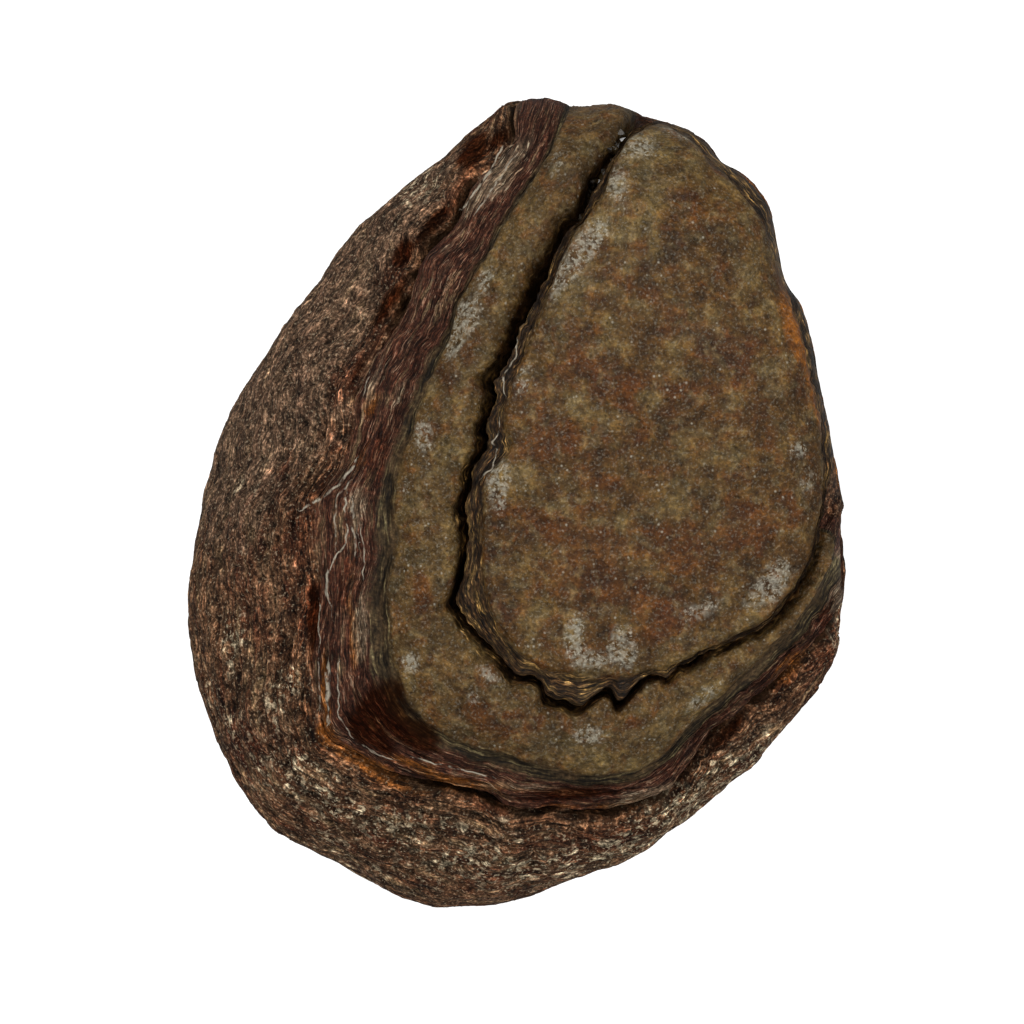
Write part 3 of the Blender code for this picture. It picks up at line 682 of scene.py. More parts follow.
def crimped(distance, angle, station):
    """Distances with the small crimps of the fissure and the waviness of every band."""
    loop = loop_points(angle, 1.1 * station)
    waves = 0.34 * layered(loop, (2.8, 2.8, 3.6), seed=21, octaves=3) * window(station, *WAVY_BANDS)[:, None]
    crimps = 0.36 * layered(loop * (1, 1, 0), 1.35, seed=23, octaves=2) * around(CRIMPING, angle)
    return distance + waves + crimps * window(station, *CRIMPED_WALLS)[:, None]


def skin(angle, station):
    """Points of rows at fractional stations, with what the materials read at each."""
    face = face_stations(angle)
    shoulder = turn_of(face[-1, 0], angle)
    back = back_stations(angle, shoulder)
    on_face = between(face, np.minimum(station, SHOULDER_STATION))
    on_back = between(back, np.clip(station - SHOULDER_STATION, 0, len(back) - 1))
    near = (station <= SHOULDER_STATION)[:, None]
    distance = np.maximum(crimped(on_face[:, 0], angle, station), 0)
    turn = np.where(near, turn_of(distance, angle), on_back[:, 0])
    quartz, rind = (np.where(near, on_face[:, part], on_back[:, part]) for part in (2, 3))
    steps = np.arange(SHOULDER_STATION * WORN_STEPS + 1) / WORN_STEPS
    worn_edges = softened(between(face[:, 1], steps), WORN_ROUNDS)
    relief = between(worn_edges, np.minimum(station, SHOULDER_STATION) * WORN_STEPS)
    relief = np.where(near, relief, on_back[:, 1])
    at = station[:, None]
    relief = relief + WALL_BULGE * window(at, *WALL_BULGES) * around(FISSURE_DEPTH, angle) / FULL_BULGE_DEPTH
    smooth = smooth_cobble(angle, turn)
    loop = loop_points(angle, between(np.array(ACROSS), station))
    loop[..., 2] += down_the_flank(angle, back, station)
    worn = 1 - WORN_SHARE * np.exp(-((turn - math.pi / 2) / WORN_TURN) ** 2)
    height = quartz * QUARTZ_LUMPS * lumps(smooth, QUARTZ_LUMP_SPACING, 5.3)
    height += rind * RIND_LUMPS * lumps(smooth, RIND_LUMP_SPACING, 1.7)
    fine = fine_relief(smooth, loop, at) * worn
    height += (relief - pit_depth(smooth)) * worn + fine
    points = smooth + outward(angle, turn) * height[..., None]
    points[..., 2] = np.maximum(points[..., 2], 0)
    # The fine relief is passed on for painted shade in its pits and painted light on its tops, beside
    # painted shade that deepens into the fissure and crevice
    attributes = {"loop": loop, "grain": fine, "painted_shade": painted_shade(relief, distance, loop, angle, station)}
    attributes.update(stone_marks(points, loop, angle, station))
    return points, attributes


def down_the_flank(angle, back, station):
    """What the real length down each column adds to the usual place across, from the shoulder on."""
    steps = np.arange(0, len(back) - 1 + 1e-6, 0.25)
    places = smooth_cobble(angle, between(back[:, 0], steps))
    lengths = np.linalg.norm(np.diff(places, axis=0, prepend=places[:1]), axis=-1).cumsum(axis=0)
    usual = between(np.array(ACROSS), SHOULDER_STATION + steps) - ACROSS[SHOULDER_STATION]
    extra = lengths - usual[:, None]
    return between(extra, np.clip(station - SHOULDER_STATION, 0, len(back) - 1) * 4)


def painted_shade(relief, distance, loop, angle, station):
    """Painted shade, darker the deeper the stone lies: black in the fissure, brown where the quartz rolls
    into it, and dark in the open crevice.
    """
    deep = ramp(-relief, *PAINTED_SHADE_DEPTHS)
    away = np.abs(distance - reach(FISSURE, angle)) - around(FISSURE_WIDTH, angle) / 2
    rolled = np.exp(-(np.clip(away, 0, None) / around(ROLLED_WIDTH, angle)) ** 2)
    rolled = ROLLED_SHARE * rolled * around(ROLLED_SHADE, angle) * (station < DARK_STATION)[:, None]
    crevice = window(station, *OPEN_CREVICE)[:, None] * np.clip(around(CREVICE_DEPTH, angle) - 0.9, 0, 1)
    crevice = CREVICE_SHADE_SHARE * crevice * ramp(bumps(loop / 3.1, 61), -0.7, 0.1)
    return np.maximum(np.maximum(deep, rolled), crevice)


def ragged(mask, pattern):
    """A mask whose soft edges are broken up by a pattern of about -1 to 1."""
    return ramp(1.25 * mask + 0.75 * pattern * (mask > 0.02), 0.28, 0.92)


def patches(points, spots, pattern):
    """Shares of the colour patches, which are seen from above and end raggedly."""
    total = 0
    for x, y, length, width, degrees, strength in spots:
        lean = math.radians(degrees)
        east, north = points[..., 0] - x, points[..., 1] - y
        along = (east * math.cos(lean) + north * math.sin(lean)) / length
        across = (north * math.cos(lean) - east * math.sin(lean)) / width
        total = total + strength * np.exp(-(along ** 2 + across ** 2) ** 1.2 * 0.7)
    return ragged(np.clip(total, 0, 1), pattern) * ramp(points[..., 2], PLAN_FADES_TO, PLAN_FADES_FROM)


def vein_distance(points, veins):
    """How many half widths each point lies from the nearest vein, less than 0 on its left, and how near."""
    sway = np.stack([bumps(points / VEIN_SWAY[0], seed) for seed in (51, 52)], axis=-1) * VEIN_SWAY[1]
    flat = (points[..., :2] + sway).reshape(-1, 2)
    best = np.full(len(flat), 1e9)
    signed = np.zeros(len(flat))
    for half_width, vein in veins:
        for (x0, y0), (x1, y1) in zip(vein, vein[1:]):
            run = np.array((x1 - x0, y1 - y0))
            offset = flat - (x0, y0)
            share = np.clip(offset @ run / (run @ run), 0, 1)
            gap = offset - share[:, None] * run
            distance = np.hypot(*gap.T)
            side = np.sign(run[0] * offset[:, 1] - run[1] * offset[:, 0])
            closer = distance < best
            signed = np.where(closer, side * distance / half_width, signed)
            best = np.where(closer, distance, best)
    above = ramp(points[..., 2], PLAN_FADES_TO, PLAN_FADES_FROM)
    nearness = 1 - ramp(best, 0.5 * VEIN_FADES, VEIN_FADES)
    return signed.reshape(points.shape[:-1]), nearness.reshape(points.shape[:-1]) * above


def stone_marks(points, loop, angle, station):
    """Places across the bands, colour patches, some of them painted shade, and veins at each point."""
    back = 1 - ramp(points[..., 2], PLAN_FADES_TO, PLAN_FADES_FROM)
    wide = layered(points, 15, seed=31, octaves=3)
    broken = layered(points, 2.6, seed=33, gain=0.7)
    streaky = layered(loop, (5, 5, 1.3), seed=35, gain=0.65)
    (start, full), (full_end, end) = CRUSTED_SECTOR
    degrees = (np.degrees(angle) + 180) % 360 - 180
    crusted = window(degrees, start, full, full_end, end) * ramp(station, 6.5, 8.5)[:, None]
    across = loop[..., 2]
    across = across - WIDER_BY * window(degrees, *BELOW_LENS) * window(across, *WIDER_BAND)
    found = {
        "across": across + crusted * np.maximum(ACROSS[CREVICE_STATION] + 3 - across, 0),
        "mottle": layered(points, 5.5, seed=37, octaves=5, gain=0.62),
    }
    for name, pattern in (
        ("honey", broken), ("plum", broken), ("olive", broken), ("frost", 0.5 * broken),
        ("amber", 0.4 * broken), ("ochre", streaky), ("umber_and_shade", 0.6 * streaky), ("rust", streaky),
        ("cream", streaky), ("dust", broken),
    ):
        found[name] = patches(points, PATCHES[name], pattern)
    for name, share in (
        ("rust", ramp(wide, 0.05, 0.4)),
        ("cream", 0.7 * ramp(-wide, 0.1, 0.5)),
        ("dust", 0.6 * ramp(broken, -0.1, 0.3)),
    ):
        found[name] = np.maximum(found[name], back * share)
    for name, veins in VEINS.items():
        found[name], found[name + "_nearness"] = vein_distance(points, veins)
    return found


def bowl(rim, pole_height, power):
    """Rows from a rim inwards and down towards a hidden pole under the lens."""
    share = 1 - np.arange(1, BOWL_ROWS + 2)[:, None, None] / (BOWL_ROWS + 1)
    pole = np.array([*LENS_MIDDLE, pole_height])
    return pole + (rim - pole) * np.concatenate([share, share, share ** power], axis=-1)


def stone_piece(name, first, counts, columns, socket=None, underside=None):
    """A grid wrapped round the stone from pole to pole, sewn up at its seam, and closed out of sight."""
    angle = column_angles(columns)
    station = skin_rows(first, counts)
    points, attributes = skin(angle, station)
    rows = points.copy()
    above = below = 0
    if socket:
        tucked, _ = skin(angle, np.array([first - TUCK_STATIONS, first]))
        rim = tucked[:1] - np.array((0, 0, TUCK_DEPTH))
        rows = np.concatenate([bowl(rim[0], *socket)[::-1], rim, rows])
        above = BOWL_ROWS + 2
    if underside:
        rows = np.concatenate([rows, bowl(points[-1], *underside)])
        below = BOWL_ROWS + 1
    rows[0] = rows[0, 0]
    rows[-1] = rows[-1, 0]
    last = len(rows) - 1
    bpy.ops.object.select_all(action="DESELECT")
    bpy.ops.mesh.primitive_grid_add(x_subdivisions=columns, y_subdivisions=last, size=2, calc_uvs=False)
    piece = bpy.context.object
    piece.name = piece.data.name = name
    mesh = piece.data
    place = np.empty(len(mesh.vertices) * 3)
    mesh.vertices.foreach_get("co", place)
    x, y, _ = place.reshape(-1, 3).T
    row = np.rint((1 - y) / 2 * last).astype(int)
    column = np.rint((1 + x) / 2 * columns).astype(int) % columns
    mesh.vertices.foreach_set("co", (rows[row, column] * MM).ravel())
    for attribute, values in attributes.items():
        top = np.repeat(values[:1], above, axis=0)
        bottom = np.repeat(values[-1:], below, axis=0)
        values = np.concatenate([top, values, bottom])
        vector = values.ndim == 3
        made = mesh.attributes.new(attribute, "FLOAT_VECTOR" if vector else "FLOAT", "POINT")
        made.data.foreach_set("vector" if vector else "value", values[row, column].ravel())
    mesh.update()
    bpy.ops.object.mode_set(mode="EDIT")
    bpy.ops.mesh.select_all(action="SELECT")
    bpy.ops.mesh.remove_doubles(threshold=SEAM_GAP)
    bpy.ops.object.mode_set(mode="OBJECT")
    bpy.ops.object.shade_smooth_by_angle(angle=math.radians(70))
    return piece


def add(tree, kind, values=(), result=None, stops=(), **settings):
    """Adds a node, sets it, fills or links its inputs by place or name, and returns an output."""
    made = tree.nodes.new("ShaderNode" + kind)
    for name, setting in settings.items():
        setattr(made, name, setting)
    for index, (place, colour) in enumerate(stops):
        stop = made.color_ramp.elements[index] if index < 2 else made.color_ramp.elements.new(place)
        stop.position = place
        stop.color = linear(colour)
    inputs = [socket for socket in made.inputs if socket.enabled]
    for place, value in values.items() if isinstance(values, dict) else enumerate(values):
        socket = inputs[place] if isinstance(place, int) else next(s for s in inputs if s.name == place)
        if isinstance(value, bpy.types.NodeSocket):
            tree.links.new(value, socket)
        else:
            socket.default_value = linear(value) if isinstance(value, str) else value
    outputs = [socket for socket in made.outputs if socket.enabled]
    return outputs[0] if result is None else next(s for s in outputs if s.name == result)


def noises(tree, rows):
    """Noise patterns around 0.5, each from a place, a size, detail, roughness and distortion."""
    return [add(tree, "TexNoise", {"Vector": place, "Scale": 1 / size, "Detail": detail,
                                   "Roughness": roughness, "Distortion": distortion})
            for place, size, detail, roughness, distortion in rows]


def flecks(tree, where, size, low, high, detail=1, seed=0, distortion=0):
    """Irregular flecks of a size in millimetres: 0 where the noise is under low, 1 where it is over high."""
    moved = add(tree, "VectorMath", (where, (seed, seed, seed)), operation="ADD")
    grain, = noises(tree, [(moved, size, detail, 0.5, distortion)])
    return add(tree, "MapRange", (grain, low, high), interpolation_type="SMOOTHSTEP")


def painted_glints(tree, where):
    """Painted highlights: round specks 0.24 mm across, on fewer than half of the places 0.8 mm apart."""
    spacing, radius, chosen_over = 0.8, 0.12, 0.56
    cells = add(tree, "TexVoronoi", {"Vector": where, "Scale": 1 / spacing}).node
    away = cells.outputs["Distance"]
    near = add(tree, "MapRange", (away, 0.6 * radius / spacing, 1.7 * radius / spacing, 1, 0))
    chosen = add(tree, "MapRange", (cells.outputs["Color"], chosen_over, chosen_over + 0.08))
    return add(tree, "Math", (near, chosen), operation="MULTIPLY")


def painted(tree, ground, coats):
    """A ground colour under coats, each shares that are multiplied, a colour, and how it is mixed in."""
    for shares, colour, blend in coats:
        share = shares[0]
        for other in shares[1:]:
            share = add(tree, "Math", (share, other), operation="MULTIPLY")
        ground = add(tree, "Mix", (share, ground, colour), data_type="RGBA", blend_type=blend)
    return ground


def shaded(tree, colour, shades):
    """A colour made darker or lighter by patterns around 1."""
    for shade in shades:
        colour = add(tree, "VectorMath", (colour, shade), operation="SCALE")
    return colour


def speckled(tree, parts):
    """A shade around 1 from patterns around 0.5 with strengths: deep in pits, bright in specks."""
    exponent = summed(tree, parts, -0.5 * sum(strength for _, strength in parts))
    return add(tree, "Math", (exponent,), operation="EXPONENT")


def summed(tree, parts, start=0.0):
    """The sum of patterns, each times its own amount."""
    total = start
    for pattern, amount in parts:
        total = add(tree, "Math", (pattern, amount, total), operation="MULTIPLY_ADD")
    return total


def stretched(tree, loop, along, across):
    """Loop places with lengths along the bands and across them as units."""
    return add(tree, "VectorMath", (loop, (1 / along, 1 / along, 1 / across)), operation="MULTIPLY")


def laid_over(tree, share, under, over):
    """One finish over another: each is a colour, a roughness and a height."""
    colour = add(tree, "Mix", (share, under[0], over[0]), data_type="RGBA")
    rough = add(tree, "Mix", (share, under[1], over[1]))
    height = add(tree, "Mix", (share, under[2], over[2]))
    return colour, rough, height


def sugary_quartz(tree, place, loop, marks):
    """Quartz, broken and river worn: waxy honey and olive, with pale sugary grains of 0.5 mm and painted
    glints on some of them.
    """
    mottle = add(tree, "MapRange", (marks["mottle"], -0.6, 0.6))
    ground = add(tree, "ValToRGB", (mottle,), stops=[
        (0.12, "#38270f"), (0.88, "#625438"), (0.40, "#4b361a"), (0.62, "#564427")])
    grain, clouds = noises(tree, [(place, 0.5, 2, 0.6, 0), (place, 1.8, 4, 0.62, 0)])
    glints = painted_glints(tree, place)
    sugar = flecks(tree, place, 0.32, 0.54, 0.70, seed=5)
    frosting = flecks(tree, place, 0.65, 0.38, 0.68, detail=3, seed=17, distortion=0.3)
    dirt = flecks(tree, place, 0.9, 0.62, 0.76, detail=3, seed=43)
    sparse = flecks(tree, place, 3.2, 0.42, 0.62, detail=2, seed=71)
    iron = flecks(tree, place, 2.4, 0.50, 0.66, detail=3, seed=91, distortion=0.4)
    chalky = flecks(tree, place, 2.0, 0.52, 0.68, detail=4, seed=23, distortion=0.4)
    colour = painted(tree, ground, [
        ((add(tree, "MapRange", (marks["across"], 23.5, 25.5, 0, 0.45)),), "#544732", "MIX"),
        ((marks["olive"], 0.6), "#60553a", "MIX"),
        ((marks["honey"], 0.75), "#4b2b0d", "MIX"),
        ((marks["plum"], 0.65), "#382013", "MIX"),
        ((marks["amber"], 0.85), "#8a571e", "MIX"),
        ((iron, 0.4), "#573012", "MIX"),
        ((chalky, 0.4), "#716852", "MIX"),
    ])
    # Painted shade in the pits of the fine relief and painted light on its tops
    colour = shaded(tree, colour, [speckled(tree, [(grain, 2.4), (clouds, 3.2)]),
                                   add(tree, "MapRange", (marks["grain"], -0.35, 0.35, 0.72, 1.22))])
    colour = painted(tree, colour, [
        ((1.0,), "#fff0cf", "MULTIPLY"),
        ((sugar, add(tree, "MapRange", (marks["frost"], 0, 0.6, 0.12, 0.5))), "#c0b8a4", "MIX"),
        ((marks["frost"], frosting, 0.6), "#aaa594", "MIX"),
        # Painted highlights, where grains glint in clusters
        ((glints, sparse, 0.45), "#c6bfac", "MIX"),
        ((dirt, sparse, 0.6), "#1c1005", "MIX"),
    ])
    height = summed(tree, [(grain, 0.22), (clouds, 0.5), (glints, 0.04), (dirt, -0.15)])
    return colour, 0.5, height


def chalcedony_laminae(tree, place, loop, marks):
    """The lens's outer wall: golden brown chalcedony in crimped layers of 0.2 mm."""
    layers, broad, crumbs = noises(tree, [
        (stretched(tree, loop, 2.4, 0.17), 1, 2, 0.6, 0.9),
        (stretched(tree, loop, 4.0, 0.8), 1, 2, 0.5, 0),
        (place, 0.5, 2, 0.6, 0),
    ])
    colour = add(tree, "ValToRGB", (broad,), stops=[
        (0.34, "#1d1207"), (0.66, "#5d4726"), (0.45, "#302010"), (0.55, "#40301b")])
    # Painted shade in the pits of the fine relief and painted light on its tops
    colour = shaded(tree, colour, [speckled(tree, [(layers, 11.0), (crumbs, 3.0)]),
                                   add(tree, "MapRange", (marks["grain"], -0.3, 0.3, 0.6, 1.4))])
    return colour, 0.5, summed(tree, [(layers, 0.5)])


def dark_band(tree, place, loop, marks):
    """Green-black chloritic layers of 0.3 mm outside the quartz ring, faded to brown in places."""
    layers, crumbs = noises(tree, [
        (stretched(tree, loop, 4.5, 0.3), 1, 3, 0.65, 0.3),
        (place, 0.5, 2, 0.6, 0),
    ])
    faded = flecks(tree, stretched(tree, loop, 1.6, 0.5), 4.0, 0.46, 0.60, detail=2, seed=91)
    colour = add(tree, "ValToRGB", (layers,), stops=[
        (0.36, "#0c0803"), (0.68, "#786c4b"), (0.48, "#241b0f"), (0.57, "#413522")])
    colour = painted(tree, colour, [((faded, 0.6), "#4f3d28", "MIX")])
    # Painted shade in the pits of the fine relief and painted light on its tops
    colour = shaded(tree, colour, [speckled(tree, [(crumbs, 4.0)]),
                                   add(tree, "MapRange", (marks["grain"], -0.3, 0.3, 0.6, 1.4))])
    return colour, 0.6, summed(tree, [(layers, 0.4)])


def banded_jasper(tree, place, loop, marks):
    """Red, orange and cream jasper, in broken layers of 0.2 to 1 mm which run along the ring."""
    broad, fine, crumbs = noises(tree, [
        (stretched(tree, loop, 5.0, 0.9), 1, 3, 0.6, 0.7),
        (stretched(tree, loop, 2.2, 0.22), 1, 2, 0.65, 1.3),
        (place, 0.42, 2, 0.6, 0),
    ])
    ground = add(tree, "ValToRGB", (broad,), stops=[
        (0.32, "#2f180c"), (0.72, "#6f5a40"), (0.44, "#432418"), (0.54, "#4b2e20"), (0.62, "#57402d")])
    colour = painted(tree, ground, [
        ((marks["rust"], 0.65), "#48200f", "MIX"),
        ((marks["ochre"], 0.8), "#6b3c0c", "MIX"),
        ((marks["cream"], 0.4), "#8f7c63", "MIX"),
    ])
    # Painted shade in the pits of the fine relief and painted light on its tops
    colour = shaded(tree, colour, [speckled(tree, [(fine, 7.5), (crumbs, 3.2)]),
                                   add(tree, "MapRange", (marks["grain"], -0.5, 0.5, 0.55, 1.4))])
    pale = add(tree, "MapRange", (fine, 0.60, 0.66))
    gaps = flecks(tree, stretched(tree, loop, 2.6, 0.5), 1.0, 0.57, 0.70, detail=2, seed=61)
    colour = painted(tree, colour, [
        ((gaps, 0.7), "#190c06", "MIX"),
        ((pale, add(tree, "MapRange", (marks["cream"], 0, 1, 0.25, 0.95))), "#c4b598", "MIX"),
    ])
    height = summed(tree, [(fine, 0.42), (broad, 0.3), (crumbs, 0.3), (gaps, -0.3)])
    return colour, 0.62, height


def rhyolite(tree, place, loop, marks):
    """Weathered rhyolite: crunchy brown, dark pits, pale feldspar of 0.3 to 1 mm, bedded by the crevice."""
    strokes, crumbs, lumpy, creases, broad, bedding = noises(tree, [
        (stretched(tree, loop, 0.55, 0.27), 1, 2, 0.6, 0.7),
        (place, 0.34, 2, 0.6, 0),
        (place, 1.5, 3, 0.6, 0),
        (stretched(tree, loop, 3.6, 0.8), 1, 3, 0.6, 0.8),
        (stretched(tree, loop, 4.5, 1.6), 1, 4, 0.65, 0.4),
        (stretched(tree, loop, 2.8, 0.26), 1, 2, 0.65, 1.0),
    ])
    feldspar = flecks(tree, place, 1.15, 0.50, 0.64, detail=4, seed=37, distortion=0.4)
    crevice = ACROSS[CREVICE_STATION]
    beside = add(tree, "MapRange", (marks["across"], crevice + 1, crevice + 4.5, 1, 0))
    bedding = add(tree, "Mix", (beside, 0.5, bedding))
    ground = add(tree, "ValToRGB", (broad,), stops=[
        (0.34, "#3e2316"), (0.68, "#70593f"), (0.46, "#503624"), (0.56, "#5a422f")])
    colour = painted(tree, ground, [
        ((marks["dust"], 0.55), "#5b493a", "MIX"),
        ((marks["rust"], 0.6), "#452114", "MIX"),
        ((marks["ochre"], 0.8), "#6b3c10", "MIX"),
        ((marks["amber"], 0.85), "#84501c", "MIX"),
        ((beside, 0.25), "#50301a", "MIX"),
        ((feldspar, marks["cream"], 0.9), "#af9f82", "MIX"),
    ])
    # Painted shade in the pits of the fine relief and painted light on its tops
    colour = shaded(tree, colour, [
        speckled(tree, [(strokes, 5.6), (crumbs, 4.2), (lumpy, 4.4), (creases, 4.2), (bedding, 7.0)]),
        add(tree, "MapRange", (marks["grain"], -0.6, 0.5, 0.5, 1.35)),
    ])
    pale = add(tree, "MapRange", (crumbs, 0.60, 0.68))
    colour = painted(tree, colour, [
        ((pale, add(tree, "MapRange", (marks["cream"], 0, 1, 0.35, 0.85))), "#c6b799", "MIX"),
    ])
    height = summed(tree, [(strokes, 0.3), (crumbs, 0.25), (lumpy, 0.4), (creases, 0.5), (bedding, 0.4),
                           (feldspar, 0.08)])
    return colour, 0.7, height


def make_stone_material(name, specular, finishes):
    """Finishes from the lens outwards, each with its first station and its softness in millimetres."""
    material = bpy.data.materials.new(name)
    material.use_nodes = True
    tree = material.node_tree
    metres = add(tree, "TexCoord", result="Object")
    place = add(tree, "VectorMath", (metres, 1 / MM), operation="SCALE")
    loop = add(tree, "Attribute", attribute_name="loop", result="Vector")
    nearnesses = [vein + "_nearness" for vein in VEINS]
    names = ["across", "grain", "painted_shade", "mottle", *PATCHES, *VEINS, *nearnesses]
    marks = {name: add(tree, "Attribute", attribute_name=name, result="Fac") for name in names}
    wobble, = noises(tree, [(place, 1.6, 3, 0.5, 0)])
    across = add(tree, "Math", (marks["across"], 0.5 * EDGE_WOBBLE), operation="SUBTRACT")
    across = summed(tree, [(wobble, EDGE_WOBBLE)], across)
    finish = None
    for function, station, soft in finishes:
        over = function(tree, place, loop, marks)
        if finish is None:
            finish = over
            continue
        edge = ACROSS[station]
        share = add(tree, "MapRange", (across, edge - soft, edge + soft), interpolation_type="SMOOTHSTEP")
        finish = laid_over(tree, share, finish, over)
    colour, rough, height = finish
    colour = painted(tree, colour, [
        # Umber brown, and painted shade in the pits and along the crevices
        ((marks["umber_and_shade"], 0.9), "#8c5426", "MULTIPLY"),
        ((marks["umber_and_shade"], 0.35), "#231106", "MIX"),
        # Painted shade, brown and then black, deepening into the fissure and the open crevice
        ((add(tree, "MapRange", (marks["painted_shade"], 0, 0.6, 0, 0.85)),), "#271809", "MIX"),
        ((add(tree, "MapRange", (marks["painted_shade"], 0.5, 1, 0, 0.95)),), "#070402", "MIX"),
    ])
    broken = flecks(tree, place, 1.1, 0.36, 0.56, detail=2, seed=83)
    for name, shade in VEIN_SHADES.items():
        away = add(tree, "Math", (marks[name],), operation="ABSOLUTE")
        line = add(tree, "MapRange", (away, 0.5, 1.4, 1, 0))
        colour = painted(tree, colour, [((line, broken, marks[name + "_nearness"], 0.85), shade, "MIX")])
    shader = tree.nodes["Principled BSDF"]
    # Less shine where umber or painted shade lies
    dull = add(tree, "Math", (marks["umber_and_shade"], marks["painted_shade"]), operation="MAXIMUM")
    tree.links.new(add(tree, "MapRange", (dull, 0, 1, specular, 0.02)), shader.inputs["Specular IOR Level"])
    tree.links.new(colour, shader.inputs["Base Color"])
    if isinstance(rough, bpy.types.NodeSocket):
        tree.links.new(rough, shader.inputs["Roughness"])
    else:
        shader.inputs["Roughness"].default_value = rough
    bump = add(tree, "Bump", {"Strength": 1.0, "Distance": MM, "Height": height})
    tree.links.new(bump, shader.inputs["Normal"])
    return material


def make_druse_material():
    """Drusy quartz: small glassy crystals, smoky brown with iron."""
    material = bpy.data.materials.new("drusy_quartz")
    material.use_nodes = True
    tree = material.node_tree
    metres = add(tree, "TexCoord", result="Object")
    tint, = noises(tree, [(metres, 1.3 * MM, 2, 0.5, 0)])
    colour = add(tree, "ValToRGB", (tint,), stops=[(0.35, "#150d06"), (0.72, "#54462f"), (0.52, "#33260f")])
    shader = tree.nodes["Principled BSDF"]
    shader.inputs["Roughness"].default_value = 0.28
    shader.inputs["IOR"].default_value = 1.544
    shader.inputs["Transmission Weight"].default_value = 0.25
    tree.links.new(colour, shader.inputs["Base Color"])
    return material


def fissure_place(degrees, across, rise):
    """A point over the fissure's floor and its outward direction. across runs from -1 to 1."""
    angle = np.array([math.radians(degrees)])
    half = around(FISSURE_WIDTH, angle) / 2
    turn = turn_of(reach(FISSURE, angle) + across * half, angle)
    normal = outward(angle, turn)[0]
    depth = around(FISSURE_DEPTH, angle)[0]
    return smooth_cobble(angle, turn)[0] + normal * (rise - depth), normal


def make_crystal():
    """One six-sided quartz crystal with a pointed end, 1 mm across and 1.7 mm tall, on the origin."""
    bpy.ops.object.select_all(action="DESELECT")
    bpy.ops.mesh.primitive_cylinder_add(vertices=6, radius=0.5 * MM, depth=MM, location=(0, 0, 0.5 * MM))
    crystal = bpy.context.object
    bpy.ops.object.transform_apply(location=True, rotation=True, scale=True)
    bpy.ops.object.mode_set(mode="EDIT")
    bpy.ops.mesh.select_mode(type="FACE")
    bpy.ops.mesh.select_all(action="DESELECT")
    bpy.ops.object.mode_set(mode="OBJECT")
    for face in crystal.data.polygons:
        face.select = face.normal.z > 0.9
    bpy.ops.object.mode_set(mode="EDIT")
    bpy.ops.mesh.poke(offset=0.7 * MM)
    bpy.ops.object.mode_set(mode="OBJECT")
    return crystal


def make_druse():
    """A bumpy crust along the fissure's floor, set with crystals that lean this way and that."""
    start, end = CRUST_DEGREES
    bpy.ops.object.select_all(action="DESELECT")
    bpy.ops.mesh.primitive_grid_add(x_subdivisions=150, y_subdivisions=8, size=2)
    crust = bpy.context.object
    crust.name = crust.data.name = "druse"
    for vert in crust.data.vertices:
        degrees = end + (start - end) * (vert.co.x + 1) / 2
        bump = 0.35 * noise.noise(Vector((degrees * 1.4, vert.co.y * 1.5, 2)))
        place, _ = fissure_place(degrees, CRUST_SHARE_OF_WIDTH * vert.co.y, CRUST_RISE + bump)
        vert.co = Vector(place) * MM
    thick = crust.modifiers.new("thickness", "SOLIDIFY")
    thick.thickness = CRUST_THICKNESS * MM
    thick.offset = -1
    bpy.ops.object.modifier_apply(modifier=thick.name)
    pattern = make_crystal()
    draw = random.Random(CRYSTAL_SEED)
    copies = []
    for _ in range(CRYSTAL_COUNT):
        degrees = draw.uniform(start - 3, end + 2)
        across = draw.uniform(-0.75, 1.05)
        rise = CRUST_RISE - 0.5 + 1.5 * max(0, across - 0.5) * draw.uniform(0.3, 2.6)
        place, normal = fissure_place(degrees, across, rise)
        radius = draw.uniform(*CRYSTAL_RADIUS)
        copy = pattern.copy()
        copy.data = pattern.data.copy()
        lean = Vector((draw.uniform(-0.7, 0.7), draw.uniform(-0.7, 0.7), 0))
        heading = (Vector(normal) + lean).normalized()
        turned = heading.to_track_quat("Z", "Y").to_matrix().to_4x4()
        size = Vector((2 * radius, 2 * radius, radius * draw.uniform(1.2, 2.2)))
        for vert in copy.data.vertices:
            vert.co = turned @ (vert.co * size) + Vector(place) * MM
        bpy.context.collection.objects.link(copy)
        copies.append(copy)
    bpy.data.objects.remove(pattern)
    bpy.ops.object.select_all(action="DESELECT")
    for copy in copies:
        copy.select_set(True)
    crust.select_set(True)
    bpy.context.view_layer.objects.active = crust
    bpy.ops.object.join()
    bpy.ops.object.shade_smooth_by_angle(angle=math.radians(20))
    return crust


def make_floor():
    """A glowing white floor, which casts no light on the stone."""
    bpy.ops.object.select_all(action="DESELECT")
    bpy.ops.mesh.primitive_plane_add(size=FLOOR_SIZE)
    floor = bpy.context.object
    floor.name = "floor"
    panel = bpy.data.materials.new("opal_light_panel")
    panel.use_nodes = True
    shader = panel.node_tree.nodes["Principled BSDF"]
    shader.inputs["Base Color"].default_value = (0.3, 0.3, 0.3, 1)
    shader.inputs["Roughness"].default_value = 0.9
    shader.inputs["Specular IOR Level"].default_value = 0.1
    shader.inputs["Emission Color"].default_value = (1, 1, 1, 1)
    shader.inputs["Emission Strength"].default_value = FLOOR_GLOW
    floor.data.materials.append(panel)
    floor.visible_diffuse = False
    floor.visible_glossy = False


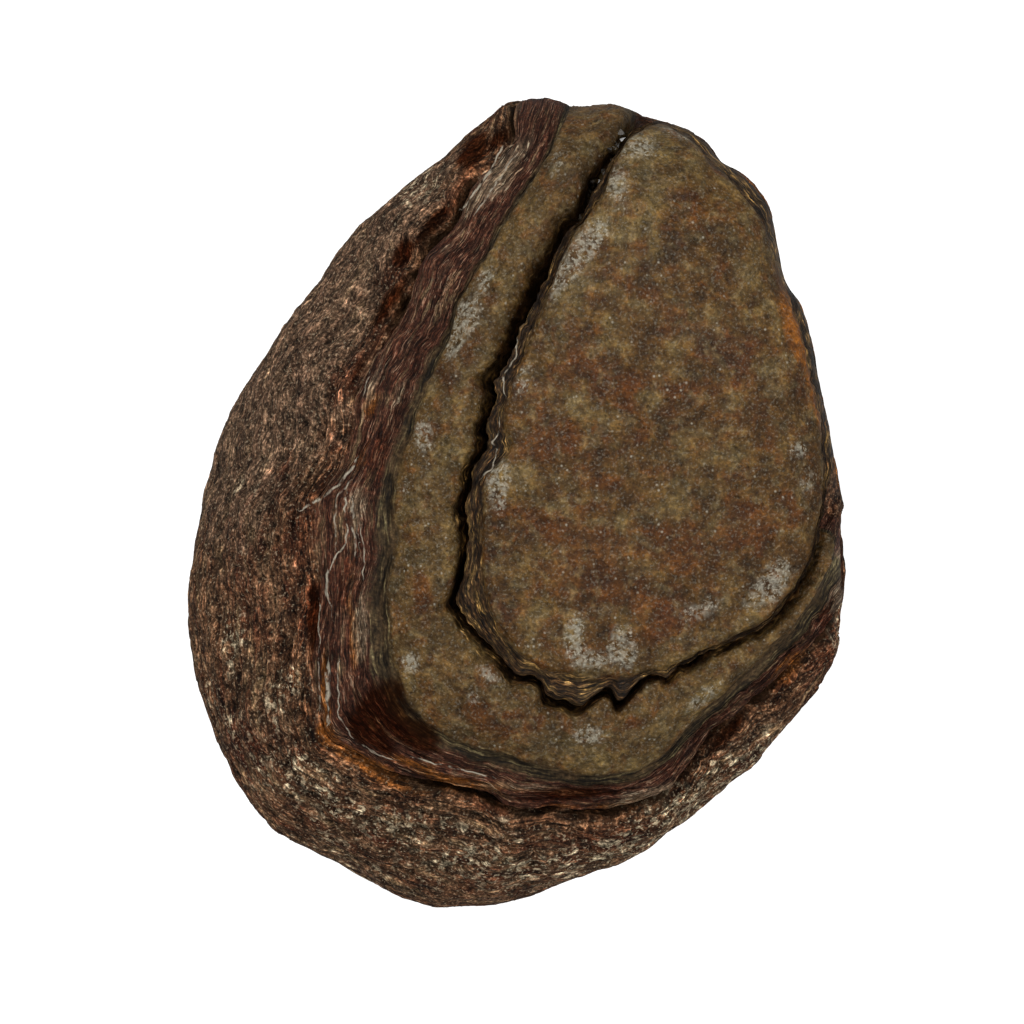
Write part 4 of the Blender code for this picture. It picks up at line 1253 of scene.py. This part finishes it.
def make_camera():
    """The camera, which looks straight down on the agate face from far off."""
    camera = bpy.data.cameras.new("camera")
    camera.sensor_width = SENSOR_WIDTH
    camera.lens = SENSOR_WIDTH * CAMERA_DISTANCE / PICTURE_WIDTH
    camera.clip_end = 3 * CAMERA_DISTANCE * MM
    eye = bpy.data.objects.new("camera", camera)
    eye.location = Vector((*PICTURE_MIDDLE, CAMERA_DISTANCE + SILHOUETTE_LEVEL)) * MM
    bpy.context.collection.objects.link(eye)
    bpy.context.scene.camera = eye


def make_lights():
    """Soft round lamps and an even white room."""
    for name, (azimuth, elevation, size, power) in LAMPS.items():
        lamp = bpy.data.lights.new(name, "AREA")
        lamp.shape = "DISK"
        lamp.size = size
        lamp.energy = power
        holder = bpy.data.objects.new(name, lamp)
        out, up = math.radians(azimuth), math.radians(elevation)
        away = Vector((math.cos(out) * math.cos(up), math.sin(out) * math.cos(up), math.sin(up)))
        holder.location = away * LAMP_DISTANCE + Vector(LAMPS_AIM)
        holder.rotation_mode = "QUATERNION"
        holder.rotation_quaternion = away.to_track_quat("Z", "Y")
        holder.visible_camera = False
        bpy.context.collection.objects.link(holder)
    room = bpy.data.worlds.new("studio")
    room.use_nodes = True
    background = room.node_tree.nodes["Background"]
    background.inputs["Color"].default_value = (1, 1, 1, 1)
    background.inputs["Strength"].default_value = ROOM_LIGHT
    bpy.context.scene.world = room
    bpy.context.scene.view_settings.view_transform = "Standard"


laminae_start = (chalcedony_laminae, LENS_LIP_STATION, 0.5)
jasper_start = (banded_jasper, DARK_STATION, 0.5)
rhyolite_start = (rhyolite, CREVICE_STATION, 1.0)
lens_stone = make_stone_material("quartz_and_chalcedony", 0.18, ((sugary_quartz, 0, 0), laminae_start))
ring_stone = make_stone_material("agate_and_jasper", 0.14, (
    (chalcedony_laminae, 0, 0), (sugary_quartz, RING_LIP_STATION, 0.3), (dark_band, RING_STATION, 0.5),
    jasper_start, rhyolite_start))
wall_rock = make_stone_material("jasper_and_rhyolite", 0.1, ((banded_jasper, 0, 0), rhyolite_start))
rock = make_stone_material("weathered_rhyolite", 0.1, ((rhyolite, 0, 0),))
lens = stone_piece("quartz_lens", 0, LENS_ROWS, LENS_COLUMNS, underside=LENS_UNDERSIDE)
ring = stone_piece("agate_ring", RING_TOP_STATION, RING_ROWS, RING_COLUMNS, RING_SOCKET, RING_UNDERSIDE)
rind = stone_piece("rhyolite_rind", CREVICE_STATION, RIND_ROWS, RIND_COLUMNS, RIND_SOCKET, RIND_UNDERSIDE)
back = stone_piece("rhyolite_back", BACK_TOP_STATION, BACK_ROWS, RIND_COLUMNS, BACK_SOCKET)
druse = make_druse()
for piece, material, node, slot in (
    (lens, lens_stone, "geode_stone", "agate_and_rhyolite"),
    (ring, ring_stone, "geode_stone", "agate_and_rhyolite"),
    (rind, wall_rock, "geode_stone", "agate_and_rhyolite"),
    (back, rock, "geode_stone", "agate_and_rhyolite"),
    (druse, make_druse_material(), "fissure_crystals", "drusy_quartz"),
):
    piece.data.materials.clear()
    piece.data.materials.append(material)
    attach(piece, "root")
    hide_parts(node)

make_floor()
make_camera()
make_lights()
